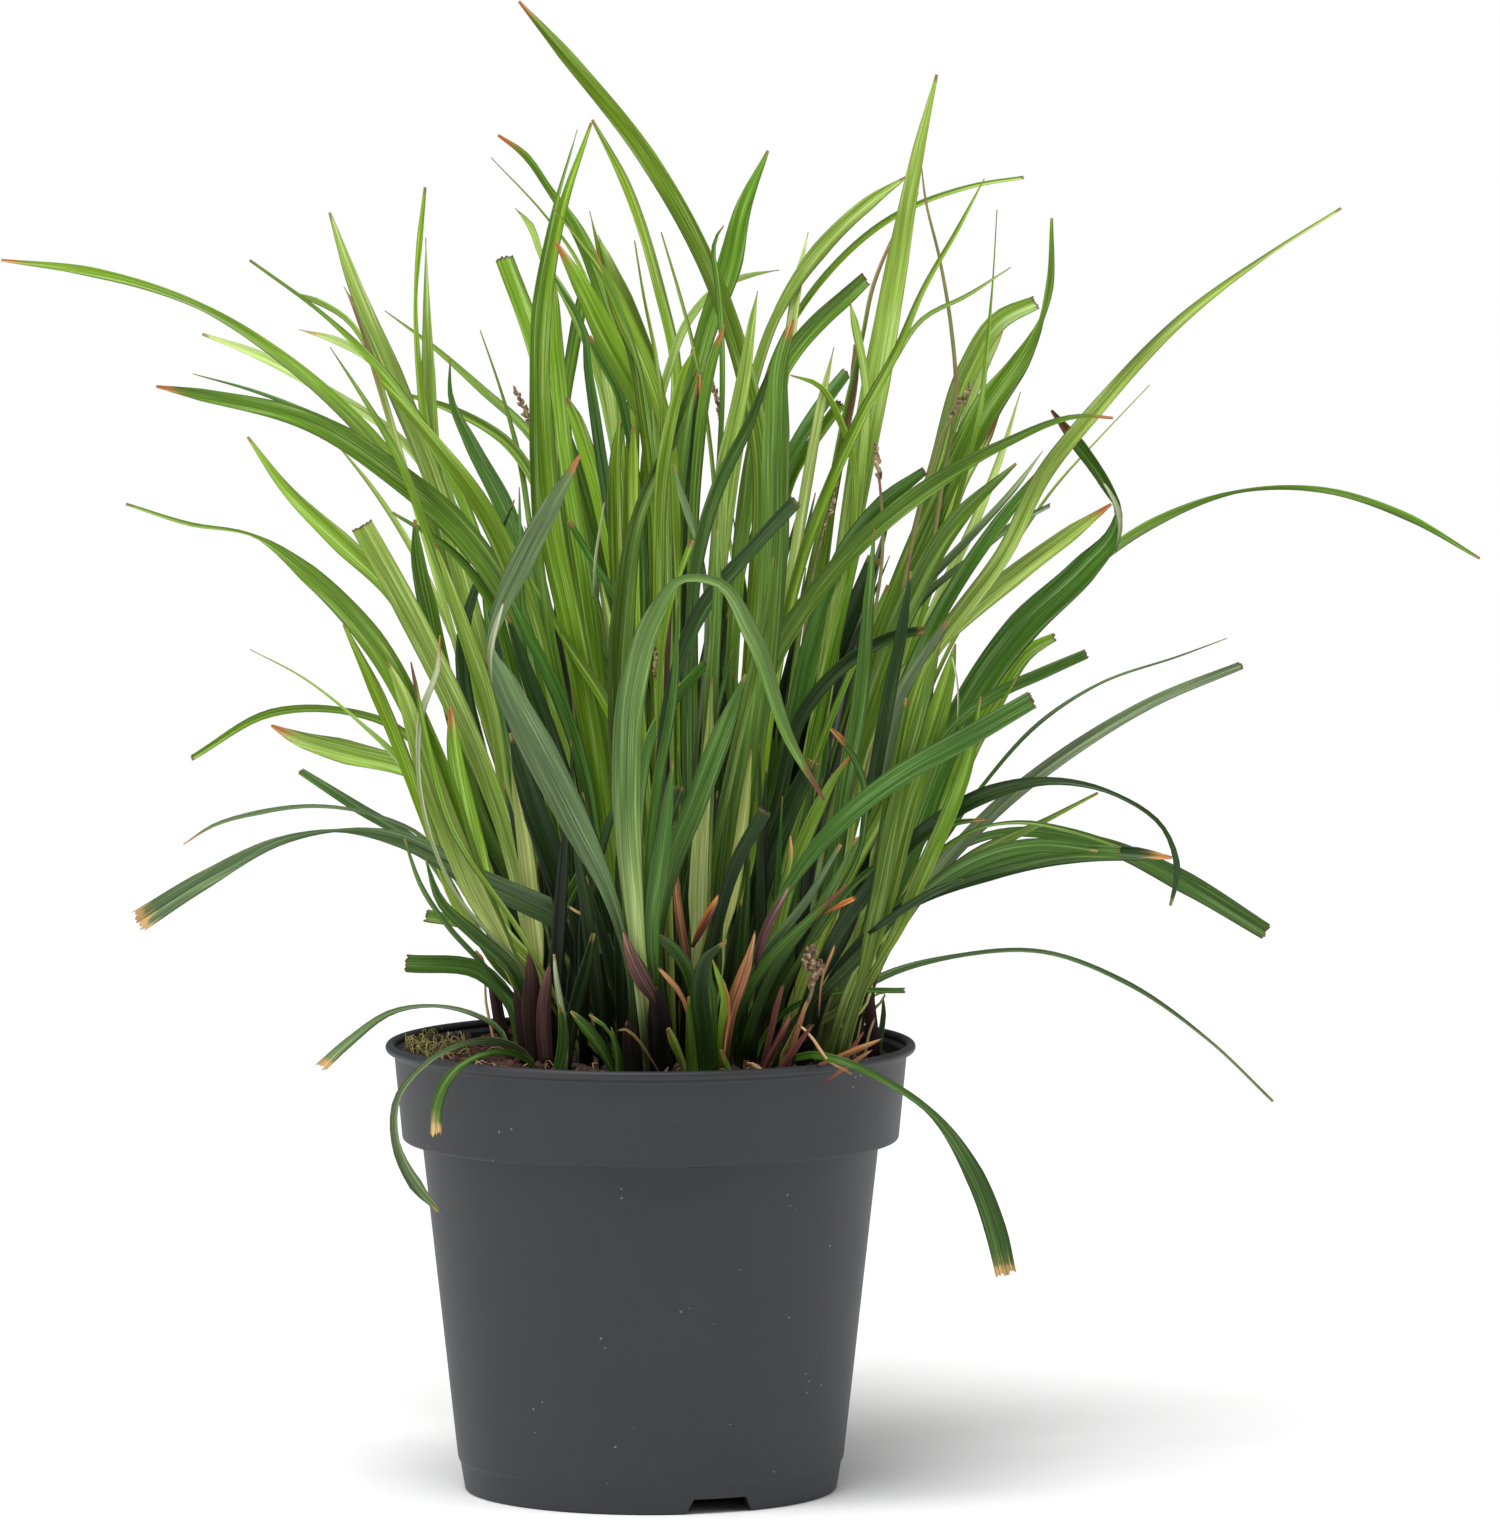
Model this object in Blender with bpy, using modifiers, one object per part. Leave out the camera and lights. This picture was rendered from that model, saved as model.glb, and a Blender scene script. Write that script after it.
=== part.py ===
"""Potted sedge: a tuft of narrow keeled leaves growing from sheathed shoots in a peat-filled
round plastic nursery pot.

Frame: metres, +Z up, the front faces -Y, origin at the centre of the pot's underside.
"""
import bpy
import bmesh
import numpy as np
from math import cos, pi, sin

MM = 0.001

# Driving dimensions of the pot, in mm.
RIM_R = 95.0            # outside of the lip bead
RIM_Z = 161.2           # top of the lip
LIP_R = RIM_R - 1.8     # middle of the lip bead
BAND_TOP_R = 91.8       # stacking band just under the lip
BAND_LOW_R = 88.9       # stacking band at its lower edge
BAND_LOW_Z = 126.4
BODY_TOP_R = 81.5       # tapered wall under the band
BODY_LOW_R = 69.2
FOOT_Z = 11.2           # height of the foot step
FOOT_R = 66.7           # outside of the foot where it stands
FOOT_IN_R = FOOT_R - 2.1
WALL = 1.6
FLOOR_Z = 6.4           # underside of the raised ring between the foot and the middle disc
DISC_R = 22.0           # middle disc that stands on the ground with the foot
DRAIN_R = 5.0
DRAIN_RING_R = 43.0
DRAIN_COUNT = 6
NOTCH_TURN = 22.0       # degrees, first drainage notch from the front towards +X
NOTCH_COUNT = 3
NOTCH_H = 5.5
NOTCH_TOP_W = 20.0
NOTCH_LOW_W = 28.0      # at the cutter's end under the ground
NOTCH_IN_R = 60.0
NOTCH_OUT_R = 75.0
CUT_OVER = 3.0          # how far the cutters reach past what they cut

# Driving dimensions of the soil and of the leaf layout, in mm.
SOIL_Z = 155.0          # soil level on the pot's axis
SOIL_CLEAR = 0.6        # clearance between the peat and the pot's wall
GAP = 0.4               # clearance between pieces that touch
BLADE = 0.8             # leaf thickness
LEAST_W = 1.1           # least width of a blade
WIDE = 2.6              # blades wider than this are folded to a V along the middle
LEAST_ROWS = 6          # rows of points along a straight blade, and on a much bent one
MOST_ROWS = 15
BEND_ROW = 14.0         # degrees of bend that ask for one row more
FULL_TWIST = 120.0      # distance from the heart beyond which a blade is folded in full
KEEL = 0.10             # depth of the V fold as a share of the width
ROLL = 0.22             # how far one edge turns away, as a share of the width

# The leaves are laid out on the upright plane y = 0, as seen from VIEW. Each has a place in
# the order from the front (negative) to the back, and fans out with the distance from HEART.
VIEW = (35.6, -4200.0, 641.4)
HEART = (10.0, 150.0)
ORDER_STEP = 2.2
FAN = 0.03

for old in list(bpy.data.objects):
    bpy.data.objects.remove(old, do_unlink=True)

sedge = bpy.data.collections.new("potted_sedge")
cutters = bpy.data.collections.new("cutters")
bpy.context.scene.collection.children.link(sedge)
bpy.context.scene.collection.children.link(cutters)


def material(name, hex_colour, roughness):
    """Principled material from an sRGB hex colour."""
    parts = [int(hex_colour[i:i + 2], 16) / 255 for i in (0, 2, 4)]
    linear = [p / 12.92 if p < 0.04045 else ((p + 0.055) / 1.055) ** 2.4 for p in parts]
    made = bpy.data.materials.new(name)
    made.use_nodes = True
    shader = made.node_tree.nodes["Principled BSDF"]
    shader.inputs["Base Color"].default_value = (*linear, 1)
    shader.inputs["Roughness"].default_value = roughness
    shader.inputs["Metallic"].default_value = 0.0
    made.diffuse_color = (*linear, 1)
    return made


def new_object(name, mesh, look, collection=sedge):
    """Object of a mesh, with one material, in a collection."""
    made = bpy.data.objects.new(name, mesh)
    if look:
        mesh.materials.append(look)
    collection.objects.link(made)
    return made


def turned(name, profile, look, steps):
    """Solid turned about Z from an (r, z) profile in mm that runs down the outer side."""
    mesh = bpy.data.meshes.new(name)
    points = [(r * MM, 0, z * MM) for r, z in profile]
    mesh.from_pydata(points, [(i, i + 1) for i in range(len(points) - 1)], [])
    made = new_object(name, mesh, look)
    screw = made.modifiers.new("turn", "SCREW")
    screw.angle = 2 * pi
    screw.steps = steps
    screw.render_steps = steps
    screw.use_merge_vertices = True
    screw.merge_threshold = 0.00001
    screw.use_smooth_shade = True
    return made


# The nursery pot: one moulded shell with a bead lip, a stacking band, a tapered wall and a foot.
def pot_outside():
    """Outer profile of the pot from the top of the lip down to the ground."""
    return [(LIP_R, RIM_Z), (RIM_R - 0.6, RIM_Z - 0.4), (RIM_R, RIM_Z - 1.5),
            (RIM_R - 0.4, RIM_Z - 2.7), (BAND_TOP_R + 0.6, RIM_Z - 3.4),
            (BAND_TOP_R, RIM_Z - 4.2), (BAND_LOW_R + 0.3, BAND_LOW_Z + 3.2),
            (BAND_LOW_R - 0.6, BAND_LOW_Z + 0.8), (BAND_LOW_R - 2.2, BAND_LOW_Z),
            (BODY_TOP_R + 0.8, BAND_LOW_Z - 0.3), (BODY_TOP_R, BAND_LOW_Z - 1.4),
            (BODY_LOW_R, FOOT_Z + 0.3), (FOOT_R + 1.8, FOOT_Z - 0.4), (FOOT_R, 0.6),
            (FOOT_R - 0.6, 0.0), (FOOT_IN_R, 0.0)]


def pot_underside():
    """The floor from the foot in: a raised ring and a middle disc that stands on the ground."""
    return [(FOOT_IN_R, FLOOR_Z), (DISC_R + 2.0, FLOOR_Z), (DISC_R, 0.0), (0.0, 0.0)]


def pot_inside():
    """Inner profile of the pot from the middle of the floor up to the lip."""
    return [(0.0, WALL), (DISC_R - 0.6, WALL), (DISC_R + 1.4, FLOOR_Z + WALL),
            (FOOT_R - 0.2, FLOOR_Z + WALL), (BODY_LOW_R - WALL, FOOT_Z + 0.8),
            (BODY_TOP_R - WALL, BAND_LOW_Z + 1.0), (BAND_LOW_R - WALL, BAND_LOW_Z + 2.2),
            (BAND_TOP_R - WALL, RIM_Z - 4.0), (RIM_R - 2.9, RIM_Z - 0.5), (LIP_R, RIM_Z)]


def add_notch(cut, turn):
    """Tapered block through the foot, for a drainage notch at the angle `turn` from the front."""
    for v in bmesh.ops.create_cube(cut, size=1.0)["verts"]:
        top = v.co.z > 0
        side = (NOTCH_TOP_W if top else NOTCH_LOW_W) / 2 * (1 if v.co.x > 0 else -1)
        out = NOTCH_IN_R if v.co.y > 0 else NOTCH_OUT_R
        height = NOTCH_H if top else -CUT_OVER
        v.co = (np.array((side * cos(turn) + out * sin(turn),
                          side * sin(turn) - out * cos(turn), height)) * MM).tolist()


def add_drill(cut, turn):
    """Upright drill for one drain hole in the raised ring of the floor."""
    drill = bmesh.ops.create_cone(cut, cap_ends=True, segments=10, radius1=DRAIN_R * MM,
                                  radius2=DRAIN_R * MM, depth=(WALL + 2 * CUT_OVER) * MM)
    centre = (DRAIN_RING_R * sin(turn), -DRAIN_RING_R * cos(turn), FLOOR_Z + WALL / 2)
    bmesh.ops.translate(cut, verts=drill["verts"], vec=[c * MM for c in centre])


def drainage_cutter():
    """All the notches and drills as one object."""
    cut = bmesh.new()
    for i in range(NOTCH_COUNT):
        add_notch(cut, np.radians(NOTCH_TURN + 360 * i / NOTCH_COUNT))
    for i in range(DRAIN_COUNT):
        add_drill(cut, 2 * pi * (i + 0.5) / DRAIN_COUNT)
    bmesh.ops.recalc_face_normals(cut, faces=cut.faces)
    mesh = bpy.data.meshes.new("drainage")
    cut.to_mesh(mesh)
    cut.free()
    made = new_object("drainage", mesh, None, cutters)
    made.hide_render = True
    made.display_type = "WIRE"
    return made


pot_plastic = material("pot_plastic", "46474C", 0.55)
pot = turned("pot", pot_outside() + pot_underside() + pot_inside(), pot_plastic, 48)
drain = pot.modifiers.new("drainage", "BOOLEAN")
drain.object = drainage_cutter()
drain.operation = "DIFFERENCE"
drain.solver = "EXACT"


# The peat with the roots in it: one solid that fills the pot to just below the lip.
def soil_profile():
    """Profile of the peat, clear of the pot's wall and floor all the way down."""
    low = FLOOR_Z + WALL + GAP
    return [(0.0, SOIL_Z), (BAND_TOP_R - WALL - SOIL_CLEAR - 0.3, SOIL_Z),
            (BAND_LOW_R - WALL - SOIL_CLEAR, BAND_LOW_Z + 2.4),
            (BODY_TOP_R - WALL - SOIL_CLEAR, BAND_LOW_Z + 1.2),
            (BODY_LOW_R - WALL - SOIL_CLEAR, FOOT_Z + 1.0),
            (FOOT_R - 1.2, low), (0.0, low)]


peat = material("peat", "3A241C", 0.95)
soil = turned("soil", soil_profile(), peat, 32)

# The leaves. Each row is x, z and blade width in mm on the front plane, from the tip to the
# soil. A fourth value is a depth y of its own, for the leaves that hang over the rim.
GREEN = material("leaf_green", "4F7A1F", 0.45)
DARK = material("leaf_dark", "2F4A1E", 0.4)
PALE = material("leaf_pale", "8FB03A", 0.45)
SLATE = material("leaf_slate", "4F6A52", 0.35)

LEAVES = {
    "leaf_top_arch": (6, GREEN, [
        (-46.5, 533, 1), (-30, 514, 5), (0, 476, 6.7), (20, 440, 6.5), (34, 400, 7),
        (39, 375, 7), (38, 320, 7), (30, 240, 6), (22, 155, 5)]),
    "leaf_top_thin": (18, GREEN, [
        (-20.5, 491, 1), (-9, 469, 3.5), (3.5, 430, 4), (9.5, 400, 4), (7, 370, 5),
        (5, 260, 5), (3, 160, 4)]),
    "leaf_top_pale": (3, PALE, [
        (-20.8, 490, 1), (-31, 460, 3.5), (-39, 400, 6.5), (-38.5, 380, 9), (-36, 350, 9),
        (-26, 300, 9), (-14, 225, 7), (-8, 157, 5)]),
    "leaf_orange_tip": (9, GREEN, [
        (-54, 485.5, 1), (-45, 479, 2.5), (-36, 466.5, 2.5), (-25, 450, 5), (-15, 425, 7),
        (-8, 405, 7), (2, 370, 6), (6, 300, 6), (2, 158, 4)]),
    "leaf_yellow_green": (2, PALE, [
        (-33.5, 447.5, 1), (-25, 433, 6), (-14.5, 412, 9.5), (-3, 391, 9.5), (6, 372, 7),
        (12, 320, 6), (11, 158, 4)]),
    "leaf_torn_top": (12, SLATE, [
        (-52, 442, 6.5), (-42, 415, 7), (-33, 380, 7), (-24, 320, 7), (-14, 230, 6),
        (-6, 159, 4)]),
    "leaf_top_dark": (11, DARK, [
        (42, 480, 1), (33, 459, 6), (28.5, 440, 9), (19, 412, 7), (11, 370, 6),
        (10, 280, 6), (12, 159, 4)]),
    "leaf_tall_right": (7, PALE, [
        (102, 507, 1), (95.5, 480, 4.5), (88, 440, 8), (81, 400, 10), (75.5, 370, 9.5),
        (68, 325, 7), (56, 250, 6), (40, 157, 5)]),
    "leaf_right_yellow_tip": (13, GREEN, [
        (91, 470.5, 1), (78, 461.5, 5), (60, 444, 6), (45, 421, 3.5), (36, 395, 4),
        (26, 340, 5), (18, 250, 5), (16, 160, 4)]),
    "leaf_right_cut_thin": (14, DARK, [
        (133, 470.5, 1.2), (115, 467.5, 1.6), (85, 455.5, 2.3), (62, 435, 2.5),
        (46, 410, 2.2), (37, 380, 2.5), (28, 300, 3), (24, 160, 3)]),
    "leaf_right_dark": (10, DARK, [
        (143, 456, 1), (142, 430, 3), (139.5, 420, 1.8), (132, 405, 7), (121, 390, 10.5),
        (106, 360, 11), (88, 320, 9), (72, 275, 8), (56, 215, 7), (46, 158, 5)]),
    "leaf_right_bent": (12, SLATE, [
        (137.5, 426, 5), (125, 420, 7), (113, 401, 8), (103, 370, 6), (88, 310, 6),
        (66, 230, 6), (52, 159, 4)]),
    "leaf_right_long": (-3, PALE, [
        (246, 459.5, 1), (220, 443, 1.4), (190, 420.5, 3.8), (160, 389, 5.5),
        (140, 364, 6), (126, 336, 6), (110, 314, 6.5), (98, 298, 6.5), (89, 280, 6.5),
        (82, 252, 6), (71, 200, 5), (59, 156, 4)]),
    "leaf_right_front_arch": (-4, GREEN, [
        (165, 384.7, 1), (155, 385.5, 1.5), (125, 375, 3.5), (95, 357, 6.5),
        (68, 333, 6.5), (46, 303, 7), (34, 272, 7), (26, 220, 6), (20, 154, 4)]),
    "leaf_right_slate": (4, SLATE, [
        (130.5, 368.5, 1), (110, 349, 6.5), (92, 318, 8.5), (78, 280, 8), (66, 240, 7),
        (50, 156, 5)]),
    "leaf_right_brown_tip": (1, DARK, [
        (144, 371.5, 1), (125, 348, 5), (105, 318, 5.5), (90, 285, 6), (78, 235, 6),
        (63, 156, 4)]),
    "leaf_right_broad": (5, PALE, [
        (164.5, 354, 1), (150, 343.5, 5.8), (128, 327, 7.5), (98, 300, 6), (80, 278, 7),
        (68, 225, 6), (57, 157, 4)]),
    "leaf_right_folded": (3, DARK, [
        (143, 387.5, 1), (152, 376, 5), (163, 360, 4), (167, 352, 2), (166, 345, 5),
        (155, 331, 10), (133, 310, 12), (112, 280, 10.5), (96, 240, 9.5), (82, 195, 6),
        (70, 157, 5)]),
    "leaf_right_arch": (20, GREEN, [
        (296, 334.5, 1), (270, 349.5, 2.8), (240, 359, 2.2), (210, 358.5, 1.2),
        (180, 347.5, 3.6), (150, 326, 4), (120, 295, 4), (78, 235, 4), (38, 161, 3)]),
    "leaf_right_cut_long": (9, SLATE, [
        (211, 296.3, 3), (180, 283.5, 4), (150, 265.5, 5), (125, 246, 5.5),
        (100, 219, 5), (82, 190, 4), (72, 158, 4)]),
    "leaf_big_cut": (-16, DARK, [
        (136.5, 284, 6.5), (115, 271.5, 7.5), (88, 256, 7.8), (65, 237, 6.5),
        (47, 213, 3.5), (37, 190, 3), (31, 151, 3)]),
    "leaf_hook": (-14, DARK, [
        (186, 210, 1.1), (188.5, 222, 2.5), (184, 237, 1.6), (165, 250.5, 1.5),
        (142, 254.8, 3), (120, 250, 6), (97, 236, 6), (70, 205, 5), (48, 152, 4)]),
    "leaf_right_low_cut": (11, DARK, [
        (220.5, 200.5, 6), (190, 219, 8), (160, 232.5, 5), (120, 235, 3), (98, 224, 4),
        (78, 195, 4), (66, 158, 4)]),
    "leaf_right_low": (-12, PALE, [
        (186.5, 227.3, 1), (175, 228.5, 5), (150, 228.3, 6.5), (120, 222, 7),
        (90, 209, 4), (68, 188, 4), (54, 152, 3)]),
    "leaf_right_low_thin": (-11, GREEN, [
        (160, 250.5, 1), (140, 240, 2), (118, 229, 5), (97, 214, 4), (76, 190, 3),
        (62, 153, 3)]),
    "leaf_low_arch_thin": (15, GREEN, [
        (223, 139.5, 1), (200, 161.5, 1.1), (170, 182.5, 1.8), (140, 193.5, 1.6),
        (110, 192, 1.6), (82, 184, 3), (62, 170, 3), (52, 159, 3)]),
    "leaf_low_cut_narrow": (-9, SLATE, [
        (91, 179.5, 2), (65, 178.5, 2), (50, 173, 2), (40, 163, 2), (36, 154, 2)]),
    "leaf_centre_broad": (-5, DARK, [
        (51, 420, 1), (46.5, 405, 6), (45, 380, 9.5), (44, 340, 11), (40, 290, 9),
        (31, 232, 6), (26, 195, 4), (24, 155, 4)]),
    "leaf_centre_cut": (-10, DARK, [
        (52, 355, 5), (38, 340, 5), (17, 314, 6), (8, 290, 4), (3, 230, 4), (2, 153, 3)]),
    "leaf_centre_crossing": (-1, SLATE, [
        (17, 402, 1.2), (9, 380, 4), (-4, 350, 5), (-10, 310, 9), (-11, 270, 8),
        (-6, 210, 6), (0, 155, 4)]),
    "leaf_front_arch": (-22, PALE, [
        (62, 248, 1), (50, 269, 4), (36, 308, 6.5), (24, 326, 3.5), (11, 327, 2.5),
        (1, 313, 7), (-6, 290, 10), (-8.5, 250, 10.5), (-5, 200, 6), (0, 149, 4)]),
    "leaf_front_folded": (-20, SLATE, [
        (-25, 371.5, 1), (-36, 352, 7), (-47, 331, 9), (-55, 312, 5), (-57, 303, 2),
        (-52, 290, 9), (-40, 266, 12.5), (-28, 242, 11), (-14, 212, 5), (-8, 190, 3),
        (-6, 149, 3)]),
    "leaf_front_bright": (-19, GREEN, [
        (34, 293, 1), (25, 270, 8), (16, 246, 8), (7, 224, 8), (3, 205, 5), (7, 149, 4)]),
    "leaf_front_brown_tip": (-18, GREEN, [
        (70.5, 217.5, 1), (58, 206, 3), (42, 190, 4), (30, 168, 4), (27, 150, 3)]),
    "leaf_front_frayed": (-15, DARK, [
        (41, 244, 5), (31, 226, 5), (24.5, 205, 4), (20, 151, 4)]),
    "leaf_front_short": (-27, DARK, [
        (27, 197, 1), (20, 191, 4), (17.5, 178, 7), (19, 166, 7), (20, 148, 5)]),
    "leaf_centre_wide": (-6, DARK, [
        (58, 262, 5), (44, 232, 9), (35, 200, 7), (32, 154, 4)]),
    "leaf_right_upright": (8, DARK, [
        (80, 335, 5), (64, 295, 8), (48, 255, 8), (36, 210, 6), (30, 158, 4)]),
    "leaf_right_fan": (-8, GREEN, [
        (94, 284, 6), (86, 245, 6), (78, 198, 7), (66, 170, 6), (60, 154, 4)]),
    "leaf_left_long": (17, GREEN, [
        (-231, 441, 1), (-200, 437, 3.6), (-160, 424.5, 2.6), (-130, 405.5, 4.5),
        (-100, 378, 6), (-80, 352, 6), (-58, 300, 6), (-36, 230, 5), (-16, 160, 4)]),
    "leaf_left_pale": (21, PALE, [
        (-159.5, 414.7, 1), (-140, 407.5, 3.3), (-120, 397, 4), (-90, 378, 3),
        (-66, 345, 4), (-44, 280, 4), (-12, 161, 3)]),
    "leaf_left_broad": (8, GREEN, [
        (-176, 396, 1), (-160, 393, 4.5), (-120, 383, 7.5), (-90, 364, 9), (-70, 347, 10),
        (-48, 315, 8), (-36, 270, 7), (-20, 158, 5)]),
    "leaf_left_green": (18, GREEN, [
        (-143.5, 378, 1), (-130, 359.5, 4), (-110, 340, 7.5), (-94, 325, 6.5),
        (-66, 270, 6), (-24, 160, 4)]),
    "leaf_left_thin": (14, GREEN, [
        (-142.5, 441, 1), (-115, 420.5, 1.5), (-97, 403, 3.5), (-74, 370, 4),
        (-48, 290, 4), (-16, 159, 3)]),
    "leaf_left_tall": (15, PALE, [
        (-114, 458, 1), (-107, 437, 4.5), (-92, 400, 8), (-77, 362, 7), (-60, 300, 7),
        (-40, 220, 6), (-27, 159, 4)]),
    "leaf_left_upright": (16, DARK, [
        (-80, 467, 1), (-82, 448, 2.2), (-83.5, 428, 1.2), (-82, 398, 2.5),
        (-76, 360, 5.5), (-52, 270, 5), (-20, 159, 4)]),
    "leaf_left_bright": (7, PALE, [
        (-98, 400, 1), (-80, 380, 4), (-60, 353, 7), (-46, 322, 8), (-35, 280, 7),
        (-24, 220, 6), (-12, 157, 4)]),
    "leaf_left_cut_broad": (1, GREEN, [
        (-103, 346.5, 8), (-86, 315, 9), (-68, 278, 8.5), (-53, 240, 6.5),
        (-43, 200, 6), (-36, 156, 4)]),
    "leaf_left_low_long": (-8, PALE, [
        (-187, 354, 1), (-165, 347, 1.6), (-141, 342.5, 1.1), (-122, 329, 7),
        (-100, 306, 9), (-79, 267, 8), (-62, 217, 9), (-46, 180, 6), (-36, 154, 4)]),
    "leaf_left_yellow": (3, PALE, [
        (-77, 340, 1), (-68, 315, 4), (-58, 285, 5), (-50, 240, 4.5), (-42, 205, 4),
        (-30, 156, 3)]),
    "leaf_left_frayed": (-6, SLATE, [
        (-183, 204.5, 8), (-160, 219, 6.7), (-130, 234, 3), (-112, 237, 1.1),
        (-90, 234, 6), (-62, 219.5, 8.5), (-30, 204.5, 10), (-6, 187, 6), (4, 168, 4),
        (7, 154, 4)]),
    "leaf_left_pale_broad": (13, PALE, [
        (-135.5, 274.7, 1), (-127, 270.5, 5), (-110, 265.6, 9), (-84, 258, 6),
        (-60, 235, 5), (-34, 158, 3)]),
    "leaf_left_arch": (12, GREEN, [
        (-164, 263, 2), (-135, 279.3, 3), (-110, 280, 2.5), (-91, 274, 3), (-70, 248, 3),
        (-40, 159, 3)]),
    "leaf_left_low_cut": (5, DARK, [
        (-87.5, 189.3, 6.5), (-60, 185.8, 6.5), (-50, 175, 5), (-46, 156, 4)]),
    "leaf_left_small_arch": (4, SLATE, [
        (-118, 152, 4), (-108, 161, 3.5), (-92, 172, 2), (-78, 174, 1.2),
        (-62, 170.5, 2), (-54, 166, 2), (-50, 157, 2)]),
    "leaf_hanging_left": (0, SLATE, [
        (-76, 99.7, 1, -68), (-84, 109, 5, -68), (-91.5, 125, 3, -70),
        (-91, 140, 2.5, -75), (-82, 152, 2, -75), (-68, 160, 2, -65),
        (-52, 160.5, 3.5, -50), (-44, 156, 3, -44), (-41, 151, 2, -43)]),
    "leaf_hanging_short": (0, GREEN, [
        (-77, 128, 4, -86), (-76, 140, 4, -87), (-72, 148.5, 4, -86),
        (-66, 153.8, 2, -80), (-58, 157, 2, -70), (-48, 157, 3, -56),
        (-37, 150, 2, -50)]),
    "leaf_trailing_right": (0, DARK, [
        (127.5, 77, 7.5, -48), (124, 92, 8, -54), (116, 113, 7, -62),
        (100, 136, 2.5, -74), (84, 147, 2.5, -83), (67, 154.5, 3, -82),
        (57, 156.5, 3, -70), (47, 154, 2.5, -56), (42, 150, 2, -52)]),
}


def smooth_run(rows, count):
    """Rows read at evenly spaced places along a smooth curve through them."""
    rows = np.array(rows, float)
    along = np.concatenate(([0], np.cumsum(np.hypot(*np.diff(rows[:, :2], axis=0).T))))
    slopes = np.gradient(rows, along, axis=0)
    places = np.linspace(0, along[-1], count)
    i = np.clip(np.searchsorted(along, places, "right") - 1, 0, len(rows) - 2)
    span = (along[i + 1] - along[i])[:, None]
    t = (places - along[i])[:, None] / span
    return ((1 + 2 * t) * (1 - t) ** 2 * rows[i] + t * (1 - t) ** 2 * span * slopes[i]
            + t * t * (3 - 2 * t) * rows[i + 1] + t * t * (t - 1) * span * slopes[i + 1])


def depth(order, x, z):
    """Depth y in mm of a leaf with this place in the order, at a place in the layout."""
    return order * (ORDER_STEP + FAN * np.hypot(x - HEART[0], z - HEART[1]))


def moved_to(x, z, y):
    """Places of the front layout moved to depth y along their lines from VIEW."""
    scale = (y - VIEW[1]) / -VIEW[1]
    return np.stack([VIEW[0] + (x - VIEW[0]) * scale, y,
                     VIEW[2] + (z - VIEW[2]) * scale], axis=-1)


def blade(name, order, look, rows):
    """Leaf blade: a grid bent along its run and folded to a V, thickened by Solidify."""
    rows = np.array(rows, float)
    turn = np.abs(np.diff(np.unwrap(np.arctan2(*np.diff(rows[:, :2], axis=0).T)))).sum()
    count = int(np.clip(LEAST_ROWS - 1 + np.degrees(turn) / BEND_ROW, LEAST_ROWS, MOST_ROWS))
    run = smooth_run(rows, count)
    across = 3 if max(rows[:, 2]) > WIDE else 2
    width = np.maximum(run[:, 2], LEAST_W)[:, None]
    heading = np.gradient(run[:, :2], axis=0)
    heading /= np.linalg.norm(heading, axis=1)[:, None]
    u = np.linspace(-1, 1, across)[None, :]
    x = run[:, 0:1] - heading[:, 1:2] * u * width / 2
    z = run[:, 1:2] + heading[:, 0:1] * u * width / 2
    own = run[:, 3:4] if rows.shape[1] > 3 else depth(order, x, z)
    near = np.clip(np.hypot(x - HEART[0], z - HEART[1]) / FULL_TWIST, 0.15, 1)
    y = own + (KEEL * width * (1 - np.abs(u)) + ROLL * width * u / 2) * near
    grid = moved_to(x, z, y)
    grid[-1, :, 2] = SOIL_Z + GAP
    mesh = bpy.data.meshes.new(name)
    shape = bmesh.new()
    bmesh.ops.create_grid(shape, x_segments=across - 1, y_segments=count - 1, size=1)
    for v in shape.verts:
        i = round((v.co.y + 1) / 2 * (count - 1))
        j = round((v.co.x + 1) / 2 * (across - 1))
        v.co = (grid[i, j] * MM).tolist()
    shape.to_mesh(mesh)
    shape.free()
    made = new_object(name, mesh, look)
    thick = made.modifiers.new("thickness", "SOLIDIFY")
    thick.thickness = BLADE * MM
    thick.offset = 0.0
    mesh.shade_smooth()
    return made


for name, (order, look, rows) in LEAVES.items():
    blade(name, order, look, rows)
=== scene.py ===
"""Potted sedge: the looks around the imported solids, in the same frame and in metres."""

import bpy
import numpy as np
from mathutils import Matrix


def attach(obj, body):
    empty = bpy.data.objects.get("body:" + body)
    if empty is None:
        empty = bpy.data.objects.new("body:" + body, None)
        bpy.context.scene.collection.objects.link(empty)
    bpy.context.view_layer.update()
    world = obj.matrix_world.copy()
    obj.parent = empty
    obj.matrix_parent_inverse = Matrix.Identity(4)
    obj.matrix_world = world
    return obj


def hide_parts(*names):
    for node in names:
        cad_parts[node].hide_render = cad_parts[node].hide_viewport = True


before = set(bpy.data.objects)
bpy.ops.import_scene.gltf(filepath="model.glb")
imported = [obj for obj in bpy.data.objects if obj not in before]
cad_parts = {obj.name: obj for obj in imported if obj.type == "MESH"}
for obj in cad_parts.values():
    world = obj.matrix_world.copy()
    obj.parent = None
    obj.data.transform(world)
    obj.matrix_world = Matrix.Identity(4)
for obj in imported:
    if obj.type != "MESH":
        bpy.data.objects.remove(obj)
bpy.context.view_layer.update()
MM = 0.001

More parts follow.
